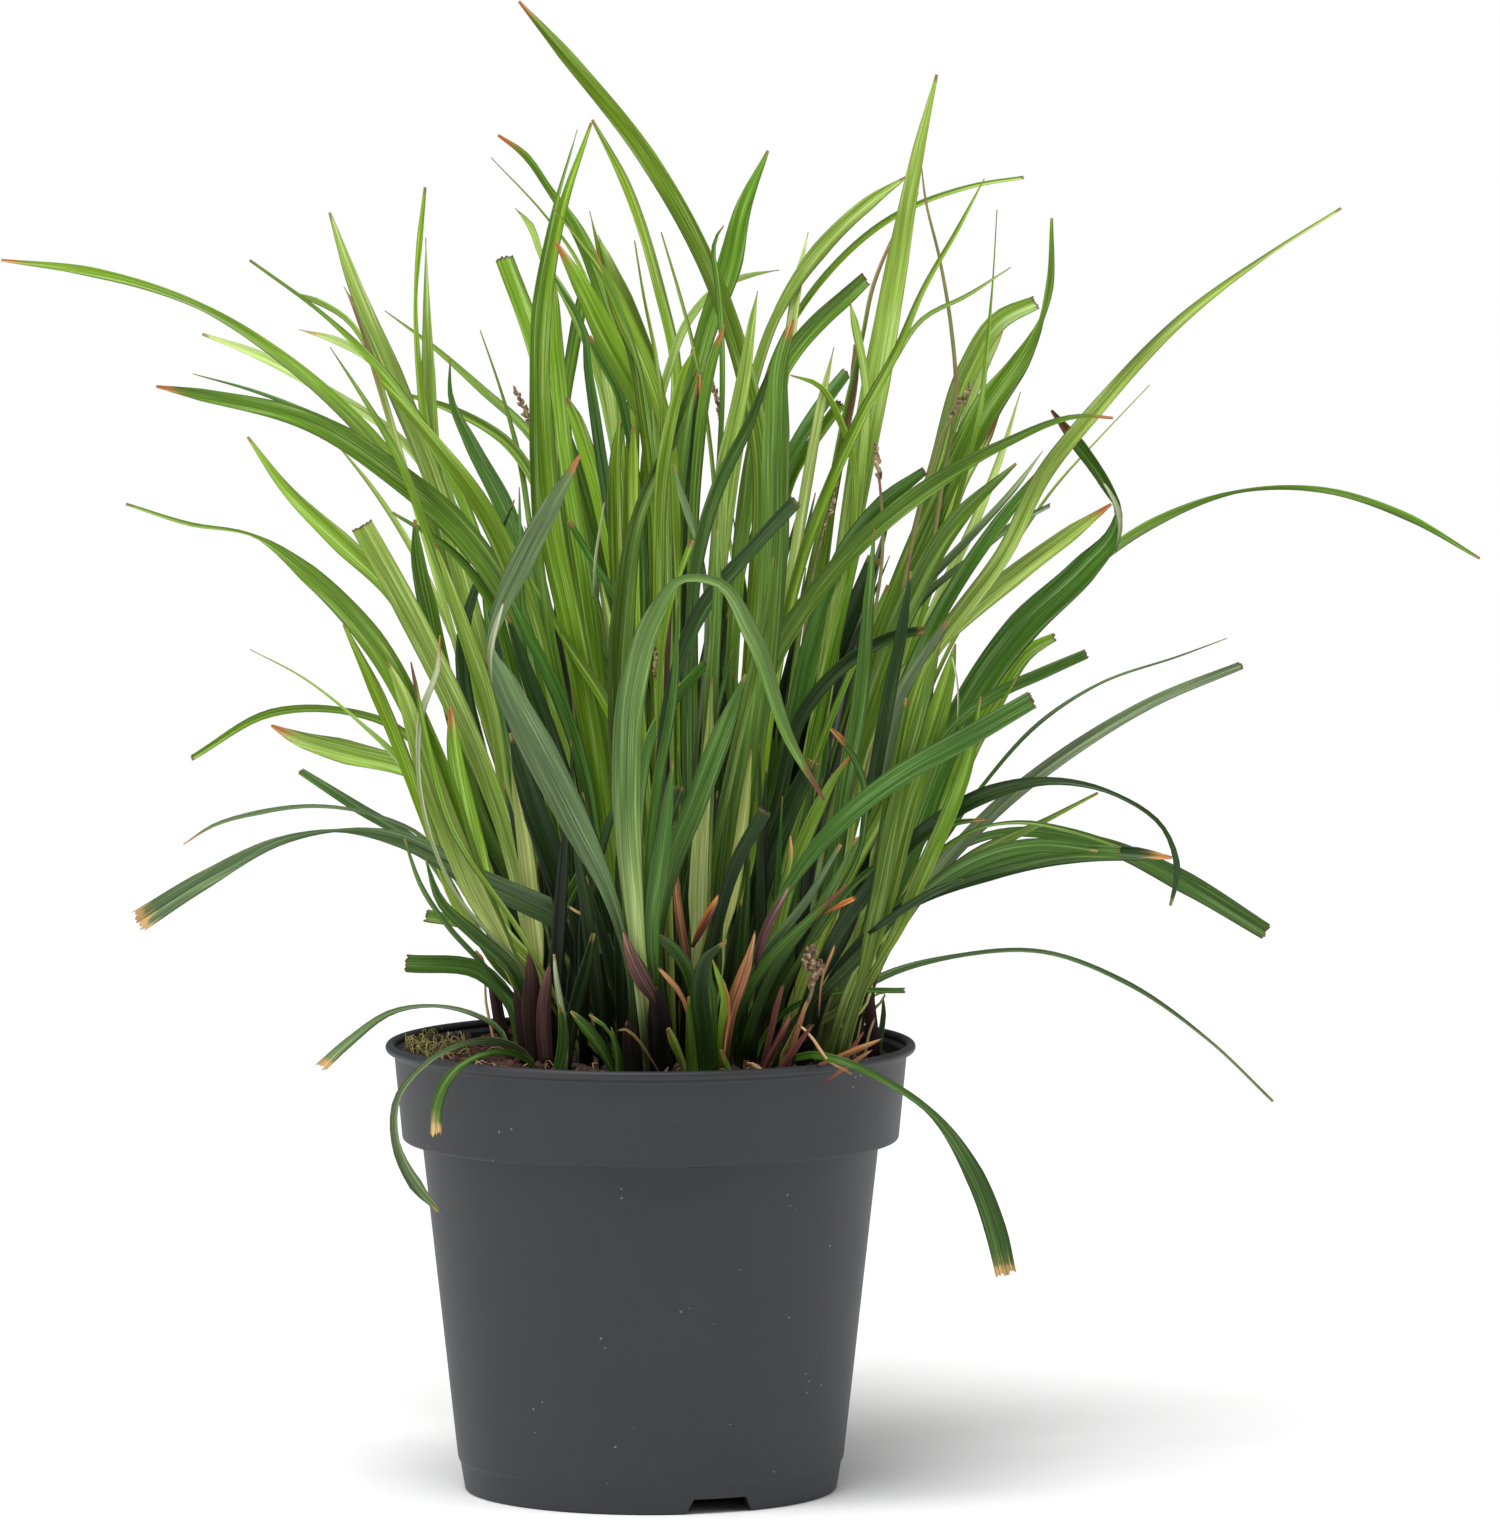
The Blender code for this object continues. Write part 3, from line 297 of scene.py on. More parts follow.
# Leaf layout.
# Narrow keeled sedge leaves, laid out on the upright plane y = 0 as seen from the camera, and
# spread in depth by their order from front to back. The rows are x, z and width in mm.
HEART = (10.0, 150.0)
ORDER_STEP, FAN = 2.2, 0.03
# Some rows are painted light and shade, not leaves: sheath_a_dark and hollow_a, in the shadow tone, are dark sheets
# painted as the shade in the hollow at the foot; fold_white_left, fold_white_right, twist_white, hook_pale and
# pale_rib_a, in the white tone, are thin strips painted as the white gloss on folded leaves; left_white_twist and
# front_small_f are blades coloured in the same painted gloss tone.
LEAVES = """
top_arch 6 green green orange: -46.5 533 1, -30 514 5, 0 476 6.7, 20 440 6.5, 34 400 7, 39 375 7, 38 320 7, 30 240 6, 22 155 5
top_thin 18 green green point: -20.5 491 1, -9 469 3.5, 3.5 430 4, 9.5 400 4, 7 370 5, 5 260 5, 3 160 4
top_pale 3 pale green point: -20.8 490 1, -31 460 3.5, -39 400 6.5, -38.5 380 9, -36 350 9, -26 300 9, -14 225 7, -8 157 5
orange_tip 9 green mid orange: -54 485.5 1, -45 479 2.5, -36 466.5 2.5, -25 450 5, -15 425 7, -8 405 7, 2 370 6, 6 300 6, 2 158 4
yellow_green 2 pale green orange: -33.5 447.5 1, -25 433 6, -14.5 412 9.5, -3 391 9.5, 6 372 7, 12 320 6, 11 158 4
torn_top 12 slate green cut: -52 442 6.5, -42 415 7, -33 380 7, -24 320 7, -14 230 6, -6 159 4
top_dark 11 dark mid point: 42 480 1, 33 459 6, 28.5 440 9, 19 412 7, 11 370 6, 10 280 6, 12 159 4
tall_right 7 pale pale point: 102 507 1, 95.5 480 4.5, 88 440 8, 81 400 10, 75.5 370 9.5, 68 325 7, 56 250 6, 40 157 5
right_yellow_tip 13 green pale point: 91 470.5 1, 78 461.5 5, 60 444 6, 45 421 3.5, 36 395 4, 26 340 5, 18 250 5, 16 160 4
right_cut_thin 14 dark green cut: 133 470.5 1.2, 115 467.5 1.6, 85 455.5 2.3, 62 435 2.5, 46 410 2.2, 37 380 2.5, 28 300 3, 24 160 3
right_dark 10 dark mid point: 143 456 1, 142 430 3, 139.5 420 1.8, 132 405 7, 121 390 10.5, 106 360 11, 88 320 9, 72 275 8, 56 215 7, 46 158 5
right_bent 12 slate green cut: 137.5 426 5, 125 420 7, 113 401 8, 103 370 6, 88 310 6, 66 230 6, 52 159 4
right_long -3 pale pale point: 246 459.5 1, 220 443 1.4, 190 420.5 3.8, 160 389 5.5, 140 364 6, 126 336 6, 110 314 6.5, 98 298 6.5, 89 280 6.5, 82 252 6, 71 200 5, 59 156 4
right_front_arch -4 green mid orange: 165 384.7 1, 155 385.5 1.5, 125 375 3.5, 95 357 6.5, 68 333 6.5, 46 303 7, 34 272 7, 26 220 6, 20 154 4
right_slate 4 slate mid point: 130.5 368.5 1, 110 349 6.5, 92 318 8.5, 78 280 8, 66 240 7, 50 156 5
right_brown_tip 1 dark dark brown: 144 371.5 1, 125 348 5, 105 318 5.5, 90 285 6, 78 235 6, 63 156 4
right_broad 5 pale pale orange: 164.5 354 1, 150 343.5 5.8, 128 327 7.5, 98 300 6, 80 278 7, 68 225 6, 57 157 4
right_folded 3 dark dark brown: 143 387.5 1, 152 376 5, 163 360 4, 167 352 2, 166 345 5, 155 331 10, 133 310 12, 112 280 10.5, 96 240 9.5, 82 195 6, 70 157 5
right_arch 20 green mid point: 296 334.5 1, 270 349.5 2.8, 240 359 2.2, 210 358.5 1.2, 180 347.5 3.6, 150 326 4, 120 295 4, 78 235 4, 38 161 3
right_cut_long 9 slate grey cut: 211 296.3 3, 180 283.5 4, 150 265.5 5, 125 246 5.5, 100 219 5, 82 190 4, 72 158 4
big_cut -16 dark dark cut: 136.5 284 6.5, 115 271.5 7.5, 88 256 7.8, 65 237 6.5, 47 213 3.5, 37 190 3, 31 151 3
hook -14 dark deep point: 186 210 1.1, 188.5 222 2.5, 184 237 1.6, 165 250.5 1.5, 142 254.8 3, 120 250 6, 97 236 6, 70 205 5, 48 152 4
right_low_cut 11 dark dark cut: 220.5 200.5 6, 190 219 8, 160 232.5 5, 120 235 3, 98 224 4, 78 195 4, 66 158 4
right_low -12 pale deep orange: 186.5 227.3 1, 175 228.5 5, 150 228.3 6.5, 120 222 7, 90 209 4, 68 188 4, 54 152 3
right_low_thin -11 green green point: 160 250.5 1, 140 240 2, 118 229 5, 97 214 4, 76 190 3, 62 153 3
low_arch_thin 15 green slate point: 223 139.5 1, 200 161.5 1.1, 170 182.5 1.8, 140 193.5 1.6, 110 192 1.6, 82 184 3, 62 170 3, 52 159 3
low_cut_narrow -9 slate dark cut: 91 179.5 2, 65 178.5 2, 50 173 2, 40 163 2, 36 154 2
centre_broad -5 dark mid orange: 51 420 1, 46.5 405 6, 45 380 9.5, 44 340 11, 40 290 9, 31 232 6, 26 195 4, 24 155 4
centre_cut -10 dark deep cut: 52 355 5, 38 340 5, 17 314 6, 8 290 4, 3 230 4, 2 153 3
centre_crossing -1 slate mid point: 17 402 1.2, 9 380 4, -4 350 5, -10 310 9, -11 270 8, -6 210 6, 0 155 4
front_arch -22 pale arch brown: 62 248 1, 50 269 4, 36 308 6.5, 24 326 3.5, 11 327 2.5, 1 313 7, -6 290 10, -8.5 250 10.5, -5 200 6, 0 149 4
front_folded -20 slate slate orange: -25 371.5 1, -36 352 7, -47 331 9, -55 312 5, -57 303 2, -52 290 9, -40 266 12.5, -28 242 11, -14 212 5, -8 190 3, -6 149 3
front_bright -19 green dark point: 34 293 1, 25 270 8, 16 246 8, 7 224 8, 3 205 5, 7 149 4
front_brown_tip -18 green dark brown: 70.5 217.5 1, 58 206 3, 42 190 4, 30 168 4, 27 150 3
front_frayed -15 dark deep cut: 41 244 5, 31 226 5, 24.5 205 4, 20 151 4
front_short -27 dark deep point: 27 197 1, 20 191 4, 17.5 178 7, 19 166 7, 20 148 5
centre_wide -6 dark deep point: 58 262 5, 44 232 9, 35 200 7, 32 154 4
right_upright 8 dark deep point: 80 335 5, 64 295 8, 48 255 8, 36 210 6, 30 158 4
right_fan -8 green mid point: 94 284 6, 86 245 6, 78 198 7, 66 170 6, 60 154 4
left_long 17 green green orange: -231 441 1, -200 437 3.6, -160 424.5 2.6, -130 405.5 4.5, -100 378 6, -80 352 6, -58 300 6, -36 230 5, -16 160 4
left_pale 21 pale sunlit point: -159.5 414.7 1, -140 407.5 3.3, -120 397 4, -90 378 3, -66 345 4, -44 280 4, -12 161 3
left_broad 8 green mid orange: -176 396 1, -160 393 4.5, -120 383 7.5, -90 364 9, -70 347 10, -48 315 8, -36 270 7, -20 158 5
left_green 18 green green point: -143.5 378 1, -130 359.5 4, -110 340 7.5, -94 325 6.5, -66 270 6, -24 160 4
left_thin 14 green green point: -142.5 441 1, -115 420.5 1.5, -97 403 3.5, -74 370 4, -48 290 4, -16 159 3
left_tall 15 pale pale point: -114 458 1, -107 437 4.5, -92 400 8, -77 362 7, -60 300 7, -40 220 6, -27 159 4
left_upright 16 dark green point: -80 467 1, -82 448 2.2, -83.5 428 1.2, -82 398 2.5, -76 360 5.5, -52 270 5, -20 159 4
left_bright 7 pale green point: -98 400 1, -80 380 4, -60 353 7, -46 322 8, -35 280 7, -24 220 6, -12 157 4
left_cut_broad 1 green pale cut: -103 346.5 8, -86 315 9, -68 278 8.5, -53 240 6.5, -43 200 6, -36 156 4
left_low_long -8 pale green point: -187 354 1, -165 347 1.6, -141 342.5 1.1, -122 329 7, -100 306 9, -79 267 8, -62 217 9, -46 180 6, -36 154 4
left_yellow 3 pale pale point: -77 340 1, -68 315 4, -58 285 5, -50 240 4.5, -42 205 4, -30 156 3
left_frayed -6 slate slate frayed: -183 204.5 8, -160 219 6.7, -130 234 3, -112 237 1.1, -90 234 6, -62 219.5 8.5, -30 204.5 10, -6 187 6, 4 168 4, 7 154 4
left_pale_broad 13 pale pale orange: -135.5 274.7 1, -127 270.5 5, -110 265.6 9, -84 258 6, -60 235 5, -34 158 3
left_arch 12 green green cut: -164 263 2, -135 279.3 3, -110 280 2.5, -91 274 3, -70 248 3, -40 159 3
left_low_cut 5 dark dark cut: -87.5 189.3 6.5, -60 185.8 6.5, -50 175 5, -46 156 4
left_small_arch 4 slate slate frayed: -118 152 4, -108 161 3.5, -92 172 2, -78 174 1.2, -62 170.5 2, -54 166 2, -50 157 2
hanging_left 0 slate grey point: -76 99.7 1 -68, -84 109 5 -68, -91.5 125 3 -70, -91 140 2.5 -75, -82 152 2 -75, -68 160 2 -65, -52 160.5 3.5 -50, -44 156 3 -44, -41 151 2 -43
hanging_short 0 green dark frayed: -77 128 4 -86, -76 140 4 -87, -72 148.5 4 -86, -66 153.8 2 -80, -58 157 2 -70, -48 157 3 -56, -37 150 2 -50
trailing_right 0 dark dark frayed: 127.5 77 7.5 -48, 124 92 8 -54, 116 113 7 -62, 100 136 2.5 -74, 84 147 2.5 -83, 67 154.5 3 -82, 57 156.5 3 -70, 47 154 2.5 -56, 42 150 2 -52
top_needle 2.2 green mid point: -25.8 487.5 0, -28 480 .7, -33 463 1.5, -37 445 2.5, -40.5 425 3, -41.5 395 3, -40 340 3
top_small_fork 9.5 pale pale point: -48 459.5 0, -43 454 2.5, -38.5 442 2, -30 428 3, -26 420 3.5, -20 405 3, -14 380 3
top_hair 16.5 green green point: -56.5 477.5 .3, -37 456.5 .8, -26 441 1.5, -18 420 2
top_pair_a 1.2 pale pale point: -18.5 450 0, -15 441 3.5, -9 428 5, -3 413 5, 1 402 5, 4 370 5
top_pair_b 1.4 green green point: -21.5 458.5 0, -17 440 2.5, -12 422 3, -8 412 3, -3 385 3
top_grey 1.0 green green point: -34.5 459.5 .5, -25 448 1.5, -15 434 4, -9 420 7, 0 400 6, 6 380 5, 9 340 4
top_line_a 0.5 green green point: -5.5 448 .5, -2 427 1, 2 407 1.5, 4 390 1.5, 4 350 1.5
top_line_b 0.7 green green point: 4 451 .5, 10.5 429 1.2, 16 408 1.5, 22 370 1.5
top_line_c 0.3 green mid orange: -20.3 446.5 .3, -17 438 1, -11 424 1.5, -4 404 1.5, 0 380 1.5
behind_arch 13.5 pale sunlit point: 46 437.5 0, 35 435.5 2, 24 431 2.5, 14 420 3, 6 400 3
over_arch -2 pale pale point: 38.3 430 0, 36.5 420 2.5, 33.5 400 5, 29.5 380 6, 27 370 6, 24 330 5
over_arch_small -2.3 green mid orange: 26.5 418 0, 24 411 3, 20 395 4, 17 370 4
behind_centre 13.2 pale sunlit point: 56.3 451 0, 52.5 433 3.5, 50 415 4, 46 390 4
tall_shadow 7.6 green mid dead: 95.5 465 .5, 86 448 1.2, 79.5 432 1.5, 75.5 413 1.5, 70 390 1.5
centre_dark_cut 12.6 green mid cut: 77 434.5 5, 70 428 6, 60 419 6.5, 52 410 6.5, 42 392 6, 34 350 5
right_line 0 green green point: 119 470 .4, 110 453 1.5, 97 430 2, 88 409 3, 75 385 4, 65 363 4, 56 340 4, 46 300 4, 36 230 4
right_line_fork 0.4 pale pale point: 128.5 438.5 .3, 113 428.5 1.5, 97 420 1.8, 86 404 2, 74 384 2, 62 350 2
right_hair 6.6 green green point: 123.5 459 .3, 122 433 .6, 120 410 1.5, 118 390 2, 108 350 2
centre_slate -4.5 dark dark point: 43 403 1, 35 382 4, 25 362 5, 18 340 5, 14 300 4
dead_upright 7.8 green green dead: 73 411 1, 73 403 3, 72 393 3, 70.5 386 3.5, 66 360 3
upright_a 6.7 pale pale point: 71 427 0, 73 418 3, 77 395 3, 76 370 3
upright_b 6.4 pale sunlit point: 65.5 410 0, 61 390 3.5, 56 362 4, 52 338 4, 46 300 4
upright_c 6.2 green green point: 50 400 .5, 60 396.5 2, 68 383 2.5, 71 375 2.5, 72 340 2.5
upright_cut_a 13.6 dark dark cut: 70 401 4, 63 392 5, 50 371 5, 42 345 5
upright_cut_b 13.8 green green cut: 68 390 4, 60 379 4, 52 367 4, 44 340 4
centre_orange -1.4 dark deep orange: 17.5 400 1, 17 385 4, 15 360 5, 13 320 4
centre_small -1.2 green green point: 16 410 0, 12 401 3, 9 390 4, 5 370 5, 3 330 4
centre_light_a 1.7 green green point: -11 384 1, -12 372 3, -12 350 4, -10 300 4
centre_light_b 1.5 green green point: -6 382 1, -6 370 4, -6 345 4, -5 300 4
centre_light_c 1.6 dark deep point: 0 380 1, 0 368 4, 1 340 4, 2 300 4
right_bent_small 12.3 pale sunlit orange: 127 419.5 0, 124 413 2, 116 395 3, 108 370 3
right_thread 6.1 pale pale point: 178 396.5 .3, 160 377.5 .6, 145 361 1, 129 338 1.2, 112 312 1.5
right_slate_cut -2.5 dark dark cut: 98 366 3, 85 356 6, 70 338 6, 60 315 5
right_dark_a 4.5 slate grey point: 140 373 .3, 131 361 2, 112 340 3, 98 325 3, 84 300 3
right_dark_b 4.7 slate slate cut: 142.5 353.5 1.5, 130 347 2.3, 115 335 2.5, 100 323 2.5, 84 300 3
right_pale_thin 9.4 pale sunlit point: 132 394 .2, 125 371 2.5, 116 348 3.5, 105 325 3.5, 92 295 4
right_brown_small 9.6 pale pale brown: 124.5 386 .3, 121 378 2, 112 362 3, 104 340 4
right_low_bent 8.2 green green cut: 144.5 306.5 3, 136 302 5, 126 289 6.5, 114 270 5, 100 240 5
right_low_cut_b -2.6 dark dark cut: 156 300.5 3.5, 140 293.5 4.3, 120 284 4.5, 107 273 4, 92 245 4
right_low_thread 9.7 dark dark point: 206 306 .3, 190 300 .7, 160 289.5 1, 140 276.5 1.5, 119 253.5 1.4, 104 232 1.5
centre_stub_a -9.6 green green point: 15 341 2.5, 12 333 2, 9 325 2, 4 300 2
centre_stub_b -9.4 dark dark cut: 20 297 3.5, 10 286 4, 0 270 4, -3 255 4, -4 220 3
centre_stalk -8.6 dark purple point: 7 322 2, 6.5 310 2, 6 298 2, 6 250 2
centre_folded -3.5 dark deep point: 98 309 3, 88 307 4, 70 297 5, 54 278 5, 46 250 4
centre_line 2.5 green green point: 85 325 1.5, 72 295 2, 60 265 3, 52 240 3, 45 212 3, 36 190 3
front_small_slate -9.6 dark dark orange: 64.5 273.5 1, 68 270 2.5, 76 255 2.5, 76 235 2
front_olive -9.2 green green orange: 72.5 265 .5, 67 258 2, 60 245 5, 50 220 6, 42 190 4
front_tiny -15.5 green green orange: 50 235 .5, 50.3 228 2, 46 212 2, 40 190 2
fan_a -7.6 dark deep point: 93 330 .5, 90 310 4, 85 284 5, 79 250 5, 70 200 4
fan_b -7.3 dark dark point: 80 345 .5, 78 320 4, 75 284 6, 70 255 6, 62 210 5
fan_c -8.4 green green point: 131 292 .4, 124 280 2, 118 270 3, 106 243 4, 97 225 3, 87 205 3, 80 185 3
right_peach_cut -10.6 dark dark frayed: 119 241 1, 108 239.5 2.5, 96 233 2.5, 73 218 2.5, 60 200 2
right_low_line -11.5 green mid cut: 168 231.5 2, 150 237 2, 132 240 1.5, 118 238 1, 104 230 2, 90 212 2
right_low_over -13.1 dark dark cut: 168 229 5, 150 229 5, 130 225.5 5, 110 219.3 4, 92 210 3, 74 190 3
left_line_a 21.5 dark dark point: -163 400.5 .3, -140 394 1.3, -120 386 1.8, -100 376 2, -80 355 2
left_line_b 18.5 pale pale point: -113 377 .4, -100 361 1.5, -88 343 2.3, -74 315 2.5
left_fork 20.5 green green point: -127 429.5 0, -120 427 2.3, -108 420 2, -100 409 2, -88 385 2
left_orange 20.7 pale sunlit orange: -125 416.3 0, -112 412.5 3, -100 406 3, -86 388 3
left_brown 15.4 pale pale dead: -109 431.5 0, -105 424 2, -103 419 2.5, -98 402 2.5
left_upright_b 16.4 pale pale point: -79.8 449 0, -79.5 420 3, -79 400 5, -78 378 5.5, -74 345 5.5
left_crossing 22 green green point: -94.5 423 .3, -77 410 1.8, -60 395 3, -42 378 3.5, -30 350 3
left_inner_dark 14.5 dark dark point: -71.3 406 .3, -71 392 2, -64 376 5, -53 355 7, -44 330 7, -36 280 6
left_inner_line 7.5 green green point: -114 410 .2, -101 390 1.8, -91 373 3, -80 345 3
left_inner_cross 19 green green point: -90 394 1, -70 387.5 3, -50 375 4, -40 360 4, -32 330 4
left_stem 19.5 green mid point: -60.5 416 .4, -53 394 1, -47 372 2, -42 340 2
left_low_dark 8.9 green green point: -109.5 311 1, -98 287 5, -87 260 5, -80 240 4, -66 205 4
left_slate 1.5 green mid point: -84 348.5 1, -83 335 5, -79 315 7, -72 285 6, -60 240 5
left_dark_line 8.5 green mid point: -92 351 1, -70 336.5 2.5, -58 321 4, -48 290 4
left_white_twist -8.6 dark white orange: -75 307 .5, -76 295 2, -81.5 280 2.5, -83 262 1.5, -80 240 1.5, -70 215 1.5
left_brown_small -8.8 green green brown: -85.5 297.5 .5, -84 290 1.5, -80 270 2, -72 240 2
left_front 0.5 green green orange: -71.5 281.5 1, -70.4 268 5, -66.6 246 8, -62.5 229 8.4, -56 205 6
left_stripe 3.5 pale sunlit point: -50 272 1, -48 258 3.5, -46 245 4, -41 212 4, -36 190 3
inner_dark_a 2.6 dark dark point: -29 348 2, -19 331 3, -12 320 3, -6 290 3
inner_dark_b 2.8 green green point: -44 330 .5, -30 305 3, -13 277 5, -6 240 4
inner_dark_c 1.8 dark dark point: -52 325 .5, -45 310 4, -35 290 5, -23 255 5, -18 225 4
inner_dark_d 3.7 dark dark point: -60 300 .5, -47 268 3, -44 250 6, -32 225 5, -26 195 4
left_low_thread 11.5 pale pale point: -143 302 .3, -125 292.5 .7, -104 276 1.2, -88 260 3, -81 248 3.5, -66 215 3
left_cut 12.5 dark dark cut: -125 258.3 2.6, -105 245.5 4, -82 231 4, -62 200 4
left_thin_arch 11.7 slate slate orange: -167 232 .4, -157 238.5 1.2, -140 243.5 1.8, -120 245.8 1.4, -100 243 1.2, -84 236.5 1.5, -66 215 2
left_low_a -6.6 dark dark point: -88 234 .8, -82 217 1.8, -72 202 2, -61 190 2, -54 182 2
left_low_b -9.2 dark dark point: -80.5 227 .5, -75 211.5 3.5, -62 199 5, -50 188 4.6, -44 177 3.6, -40 165 3
left_stub 5.6 green mid cut: -80.5 206.5 4.7, -66 203 4, -54 188 4
inner_dark_e -7.5 dark dark point: -20 230 4, -31 208 4, -34 180 3
left_brown_end 1.7 green mid brown: -55 232 1, -47 220 3, -40 205 3
front_slate_cut -18.5 dark deep cut: 10.5 252.5 3.5, 4 232 4, 2 222 3.5, 3 190 3
front_dark -12 dark dark point: 10 320 .5, 8 284 3, 2 250 4, -1 220 3, 0 190 3
front_pale_a -11 green mid point: 24 345 .5, 24 325 3, 22 290 5, 20 255 5, 18 210 7, 16.5 188 4, 16 160 4
front_pale_b 0.8 green mid point: 13 350 .5, 14 325 3, 14.5 290 4, 16 230 4, 15 190 3
front_pale_c -10.7 green mid point: 44 335 .5, 41 315 3, 36 290 4, 28 255 4, 22 225 3, 20 200 3
front_slate_a -17 slate slate point: 68 232 1.5, 56 212 3, 43 195 4, 30 172 3
front_slate_b -17.4 dark dark point: 74 234.5 1, 62 212 3, 48 193 3.5, 33 168 4
shoot_a_green -22.3 dark dark point: 8 262 .5, 6 246 4.4, 4.6 234 5.6, 2.6 220 6.8, 0.8 206 5.5, 0.8 194 4.5, 1.6 185 3, 2 178 2
sheath_a -23.4 dark mauve dry: -9.8 201 .6, -7.6 194 3.8, -4.6 187 6.6, -1.4 181 6.4, .8 177 3.4, 1.6 174.5 .8
sheath_a_dark -23.1 dark shadow dry: 1.6 181 1.2, 2.4 176 6, 3.2 168 9, 3.6 160 9, 3.6 150 8
brown_fibre -23.8 dark tan dry: 3 187.5 1, 6 184.2 1.8, 9 181 1.8, 12 176.5 1.6, 14.5 170 1.5, 15 158 1.5
brown_edge -17.6 dark tan dry: 9.4 228 .6, 9.2 219 2.2, 10 209 3.2, 11.4 199.5 3.2, 13 191.5 2.4, 14.2 185 1
shoot_b -11.3 pale olive point: 22 292 .6, 20.8 264 4.4, 19.4 244 6.4, 18.3 228 7.6, 17.6 212 8.2, 17.5 202 6.6, 16.9 195 4.6, 15.7 188 2, 16 170 2
torn_orange -17.9 dark flame dry: 24.4 214 .6, 22.2 209.8 2.5, 19.5 205 2.3, 16.5 199 1.7, 14.6 195 .6
hooked_front -24 dark dark point: 27.2 197.8 .6, 24.5 195.3 1.8, 20.8 192 3.2, 18.8 186.5 6.4, 20 178 7.4, 21 165 6.6, 21 152 6.4
front_crossing -21.6 dark dark point: -1 200 2, 6 196.5 4.2, 12 189.5 5, 15 181 4, 16 168 3, 16 158 3
front_yellow_edge -24.6 green green point: 22.2 190.5 .6, 24 185.3 1.9, 26 180 3.2, 26.9 175.3 3.4, 25.6 169.5 2.6, 24.8 162 2, 26 152 2
front_yellow_rim -24.8 dark flame point: 25.4 184.5 .5, 27.6 179 .9, 28.2 175.5 1.1, 27.2 171.5 .8, 26 166 .5
tan_sheath -23.6 dark tan dry: 37.4 200.5 .6, 35.8 193.5 2.2, 33.7 186.5 4.6, 31.2 179.5 5.2, 28.7 172 4.4, 27 163.5 3.4, 26 154 3
mauve_sheath -19.2 dark mauve dry: 49.3 216.5 .7, 46 210.5 2.4, 42.4 204 3.4, 39.9 197.5 3.4, 38.4 191 2.2, 37.6 187 .6
shoot_c -10.9 pale olive point: 36 266 .6, 34 248 3.6, 32 232 4.6, 30.2 220 5.3, 28.9 211.5 4.4, 27.5 205 3, 26.5 199.5 1, 26 185 1.2
front_small_a -26.4 green mid point: 13.6 177.3 .8, 14.8 170.5 4.6, 15.4 162 6, 15.4 152 5
front_small_b -26 green green point: 6.2 166.5 1.4, 8 162.6 3.6, 11 157.2 2.8, 13.6 151.5 2.2
front_small_c -26.2 green mid point: 25 161.5 1, 27 158.6 2.2, 29.4 155.8 1.8, 31.4 153.6 .7
front_small_d -23.5 dark dark point: -14 167 .5, -12.4 161 3.2, -9 152 3.4
front_small_e -14.8 dark dark point: -33 175.3 .5, -31.6 170 3, -31.8 163 3.9, -34.6 157 2.6
front_small_f -14.2 dark white point: -34.5 192.5 .9, -33.8 184.5 1.9, -32.3 176 2.5, -30.6 167 2.6, -31 157 2.4
front_small_g -24.5 dark dark point: -22 171.5 .6, -19.5 170.3 1.9, -16.5 169.4 1.6, -13 166 1, -12 158 1
front_small_h -22.8 dark dark point: -28.5 172 1, -24 167.5 4.2, -17.5 160.5 4.8, -11 152.5 3.6
front_small_i -14 dark deep point: -20.4 200 1.5, -24 184 5, -29 166 5, -31 156 4
curl_tan -25.4 dark straw dry: -11.5 165.5 .8, -9 166.4 1.1, -6 165.4 1.3, -2 162.4 1.2, 2 159 1.1, 4.8 157.2 .8
tan_line -9.6 dark straw dry: -29.3 209.8 .7, -26 207.6 1, -22.3 206.2 .8, -20 200 .6, -21 180 .6
cream_curl -23.9 dark cream dry: 33.6 156 .7, 36.6 157.1 1.7, 40 156.4 2.4, 43.8 153.8 .9
red_strip_a -20.8 dark brown dry: 58 167.2 .8, 53.5 162.6 2.2, 49 158.4 3.4, 43.6 153.6 3
red_strip_b -20.2 dark brown dry: 50 170 1.5, 46.6 164 2.8, 42 157.5 2.6, 39 152.5 2
red_strip_c -18.6 dark brown dry: 47.3 181 1.2, 45 173.5 2.4, 43 166 2.4, 39 155 2.2
dead_right_a -19.5 dark tan dry: 82.6 161.9 .5, 76.5 159.3 2.2, 68 156.5 2.4, 58.5 155.6 1.2, 52 153 1
dead_right_b -19.3 dark tan dry: 79.6 158.4 .6, 73 156 2, 65.5 154.4 1.8, 60 154 1
cream_twig -20.4 dark cream dry: 53.4 167 .8, 57.5 164.2 1.1, 61 161 1.3, 63.8 159.2 1.3, 68.3 160.2 1.6, 72.2 161.6 1.2
brown_twig -16.4 dark brown dry: 76.4 166.6 .6, 73 163.8 1.6, 69 161.2 2, 64 158.4 1.6
dead_upright_a -18.2 dark tan dry: 56.3 176.4 .8, 53.6 170 2.2, 50.6 163.4 2.4, 48 155.5 2
dead_upright_b -14.2 dark tan dry: 66 196 .5, 64.3 191.5 1.2, 62 186 .9, 60 170 .8
pale_stem_a 1.4 dark cream dry: 80.2 171.2 .8, 78.2 167 1.1, 76.4 160 1.2
pale_stem_b 1.2 dark cream dry: 75.6 171.6 .5, 74.4 167 .8, 72.4 160 .8
pale_stem_c 5.8 dark cream dry: -59.2 182 .8, -59 176 1, -57.6 169.6 1.1, -55 160 1
green_curl 2.2 pale pale point: 75.4 173.2 .6, 77 171.4 1.4, 80 172.4 1.4, 83 176.2 .7
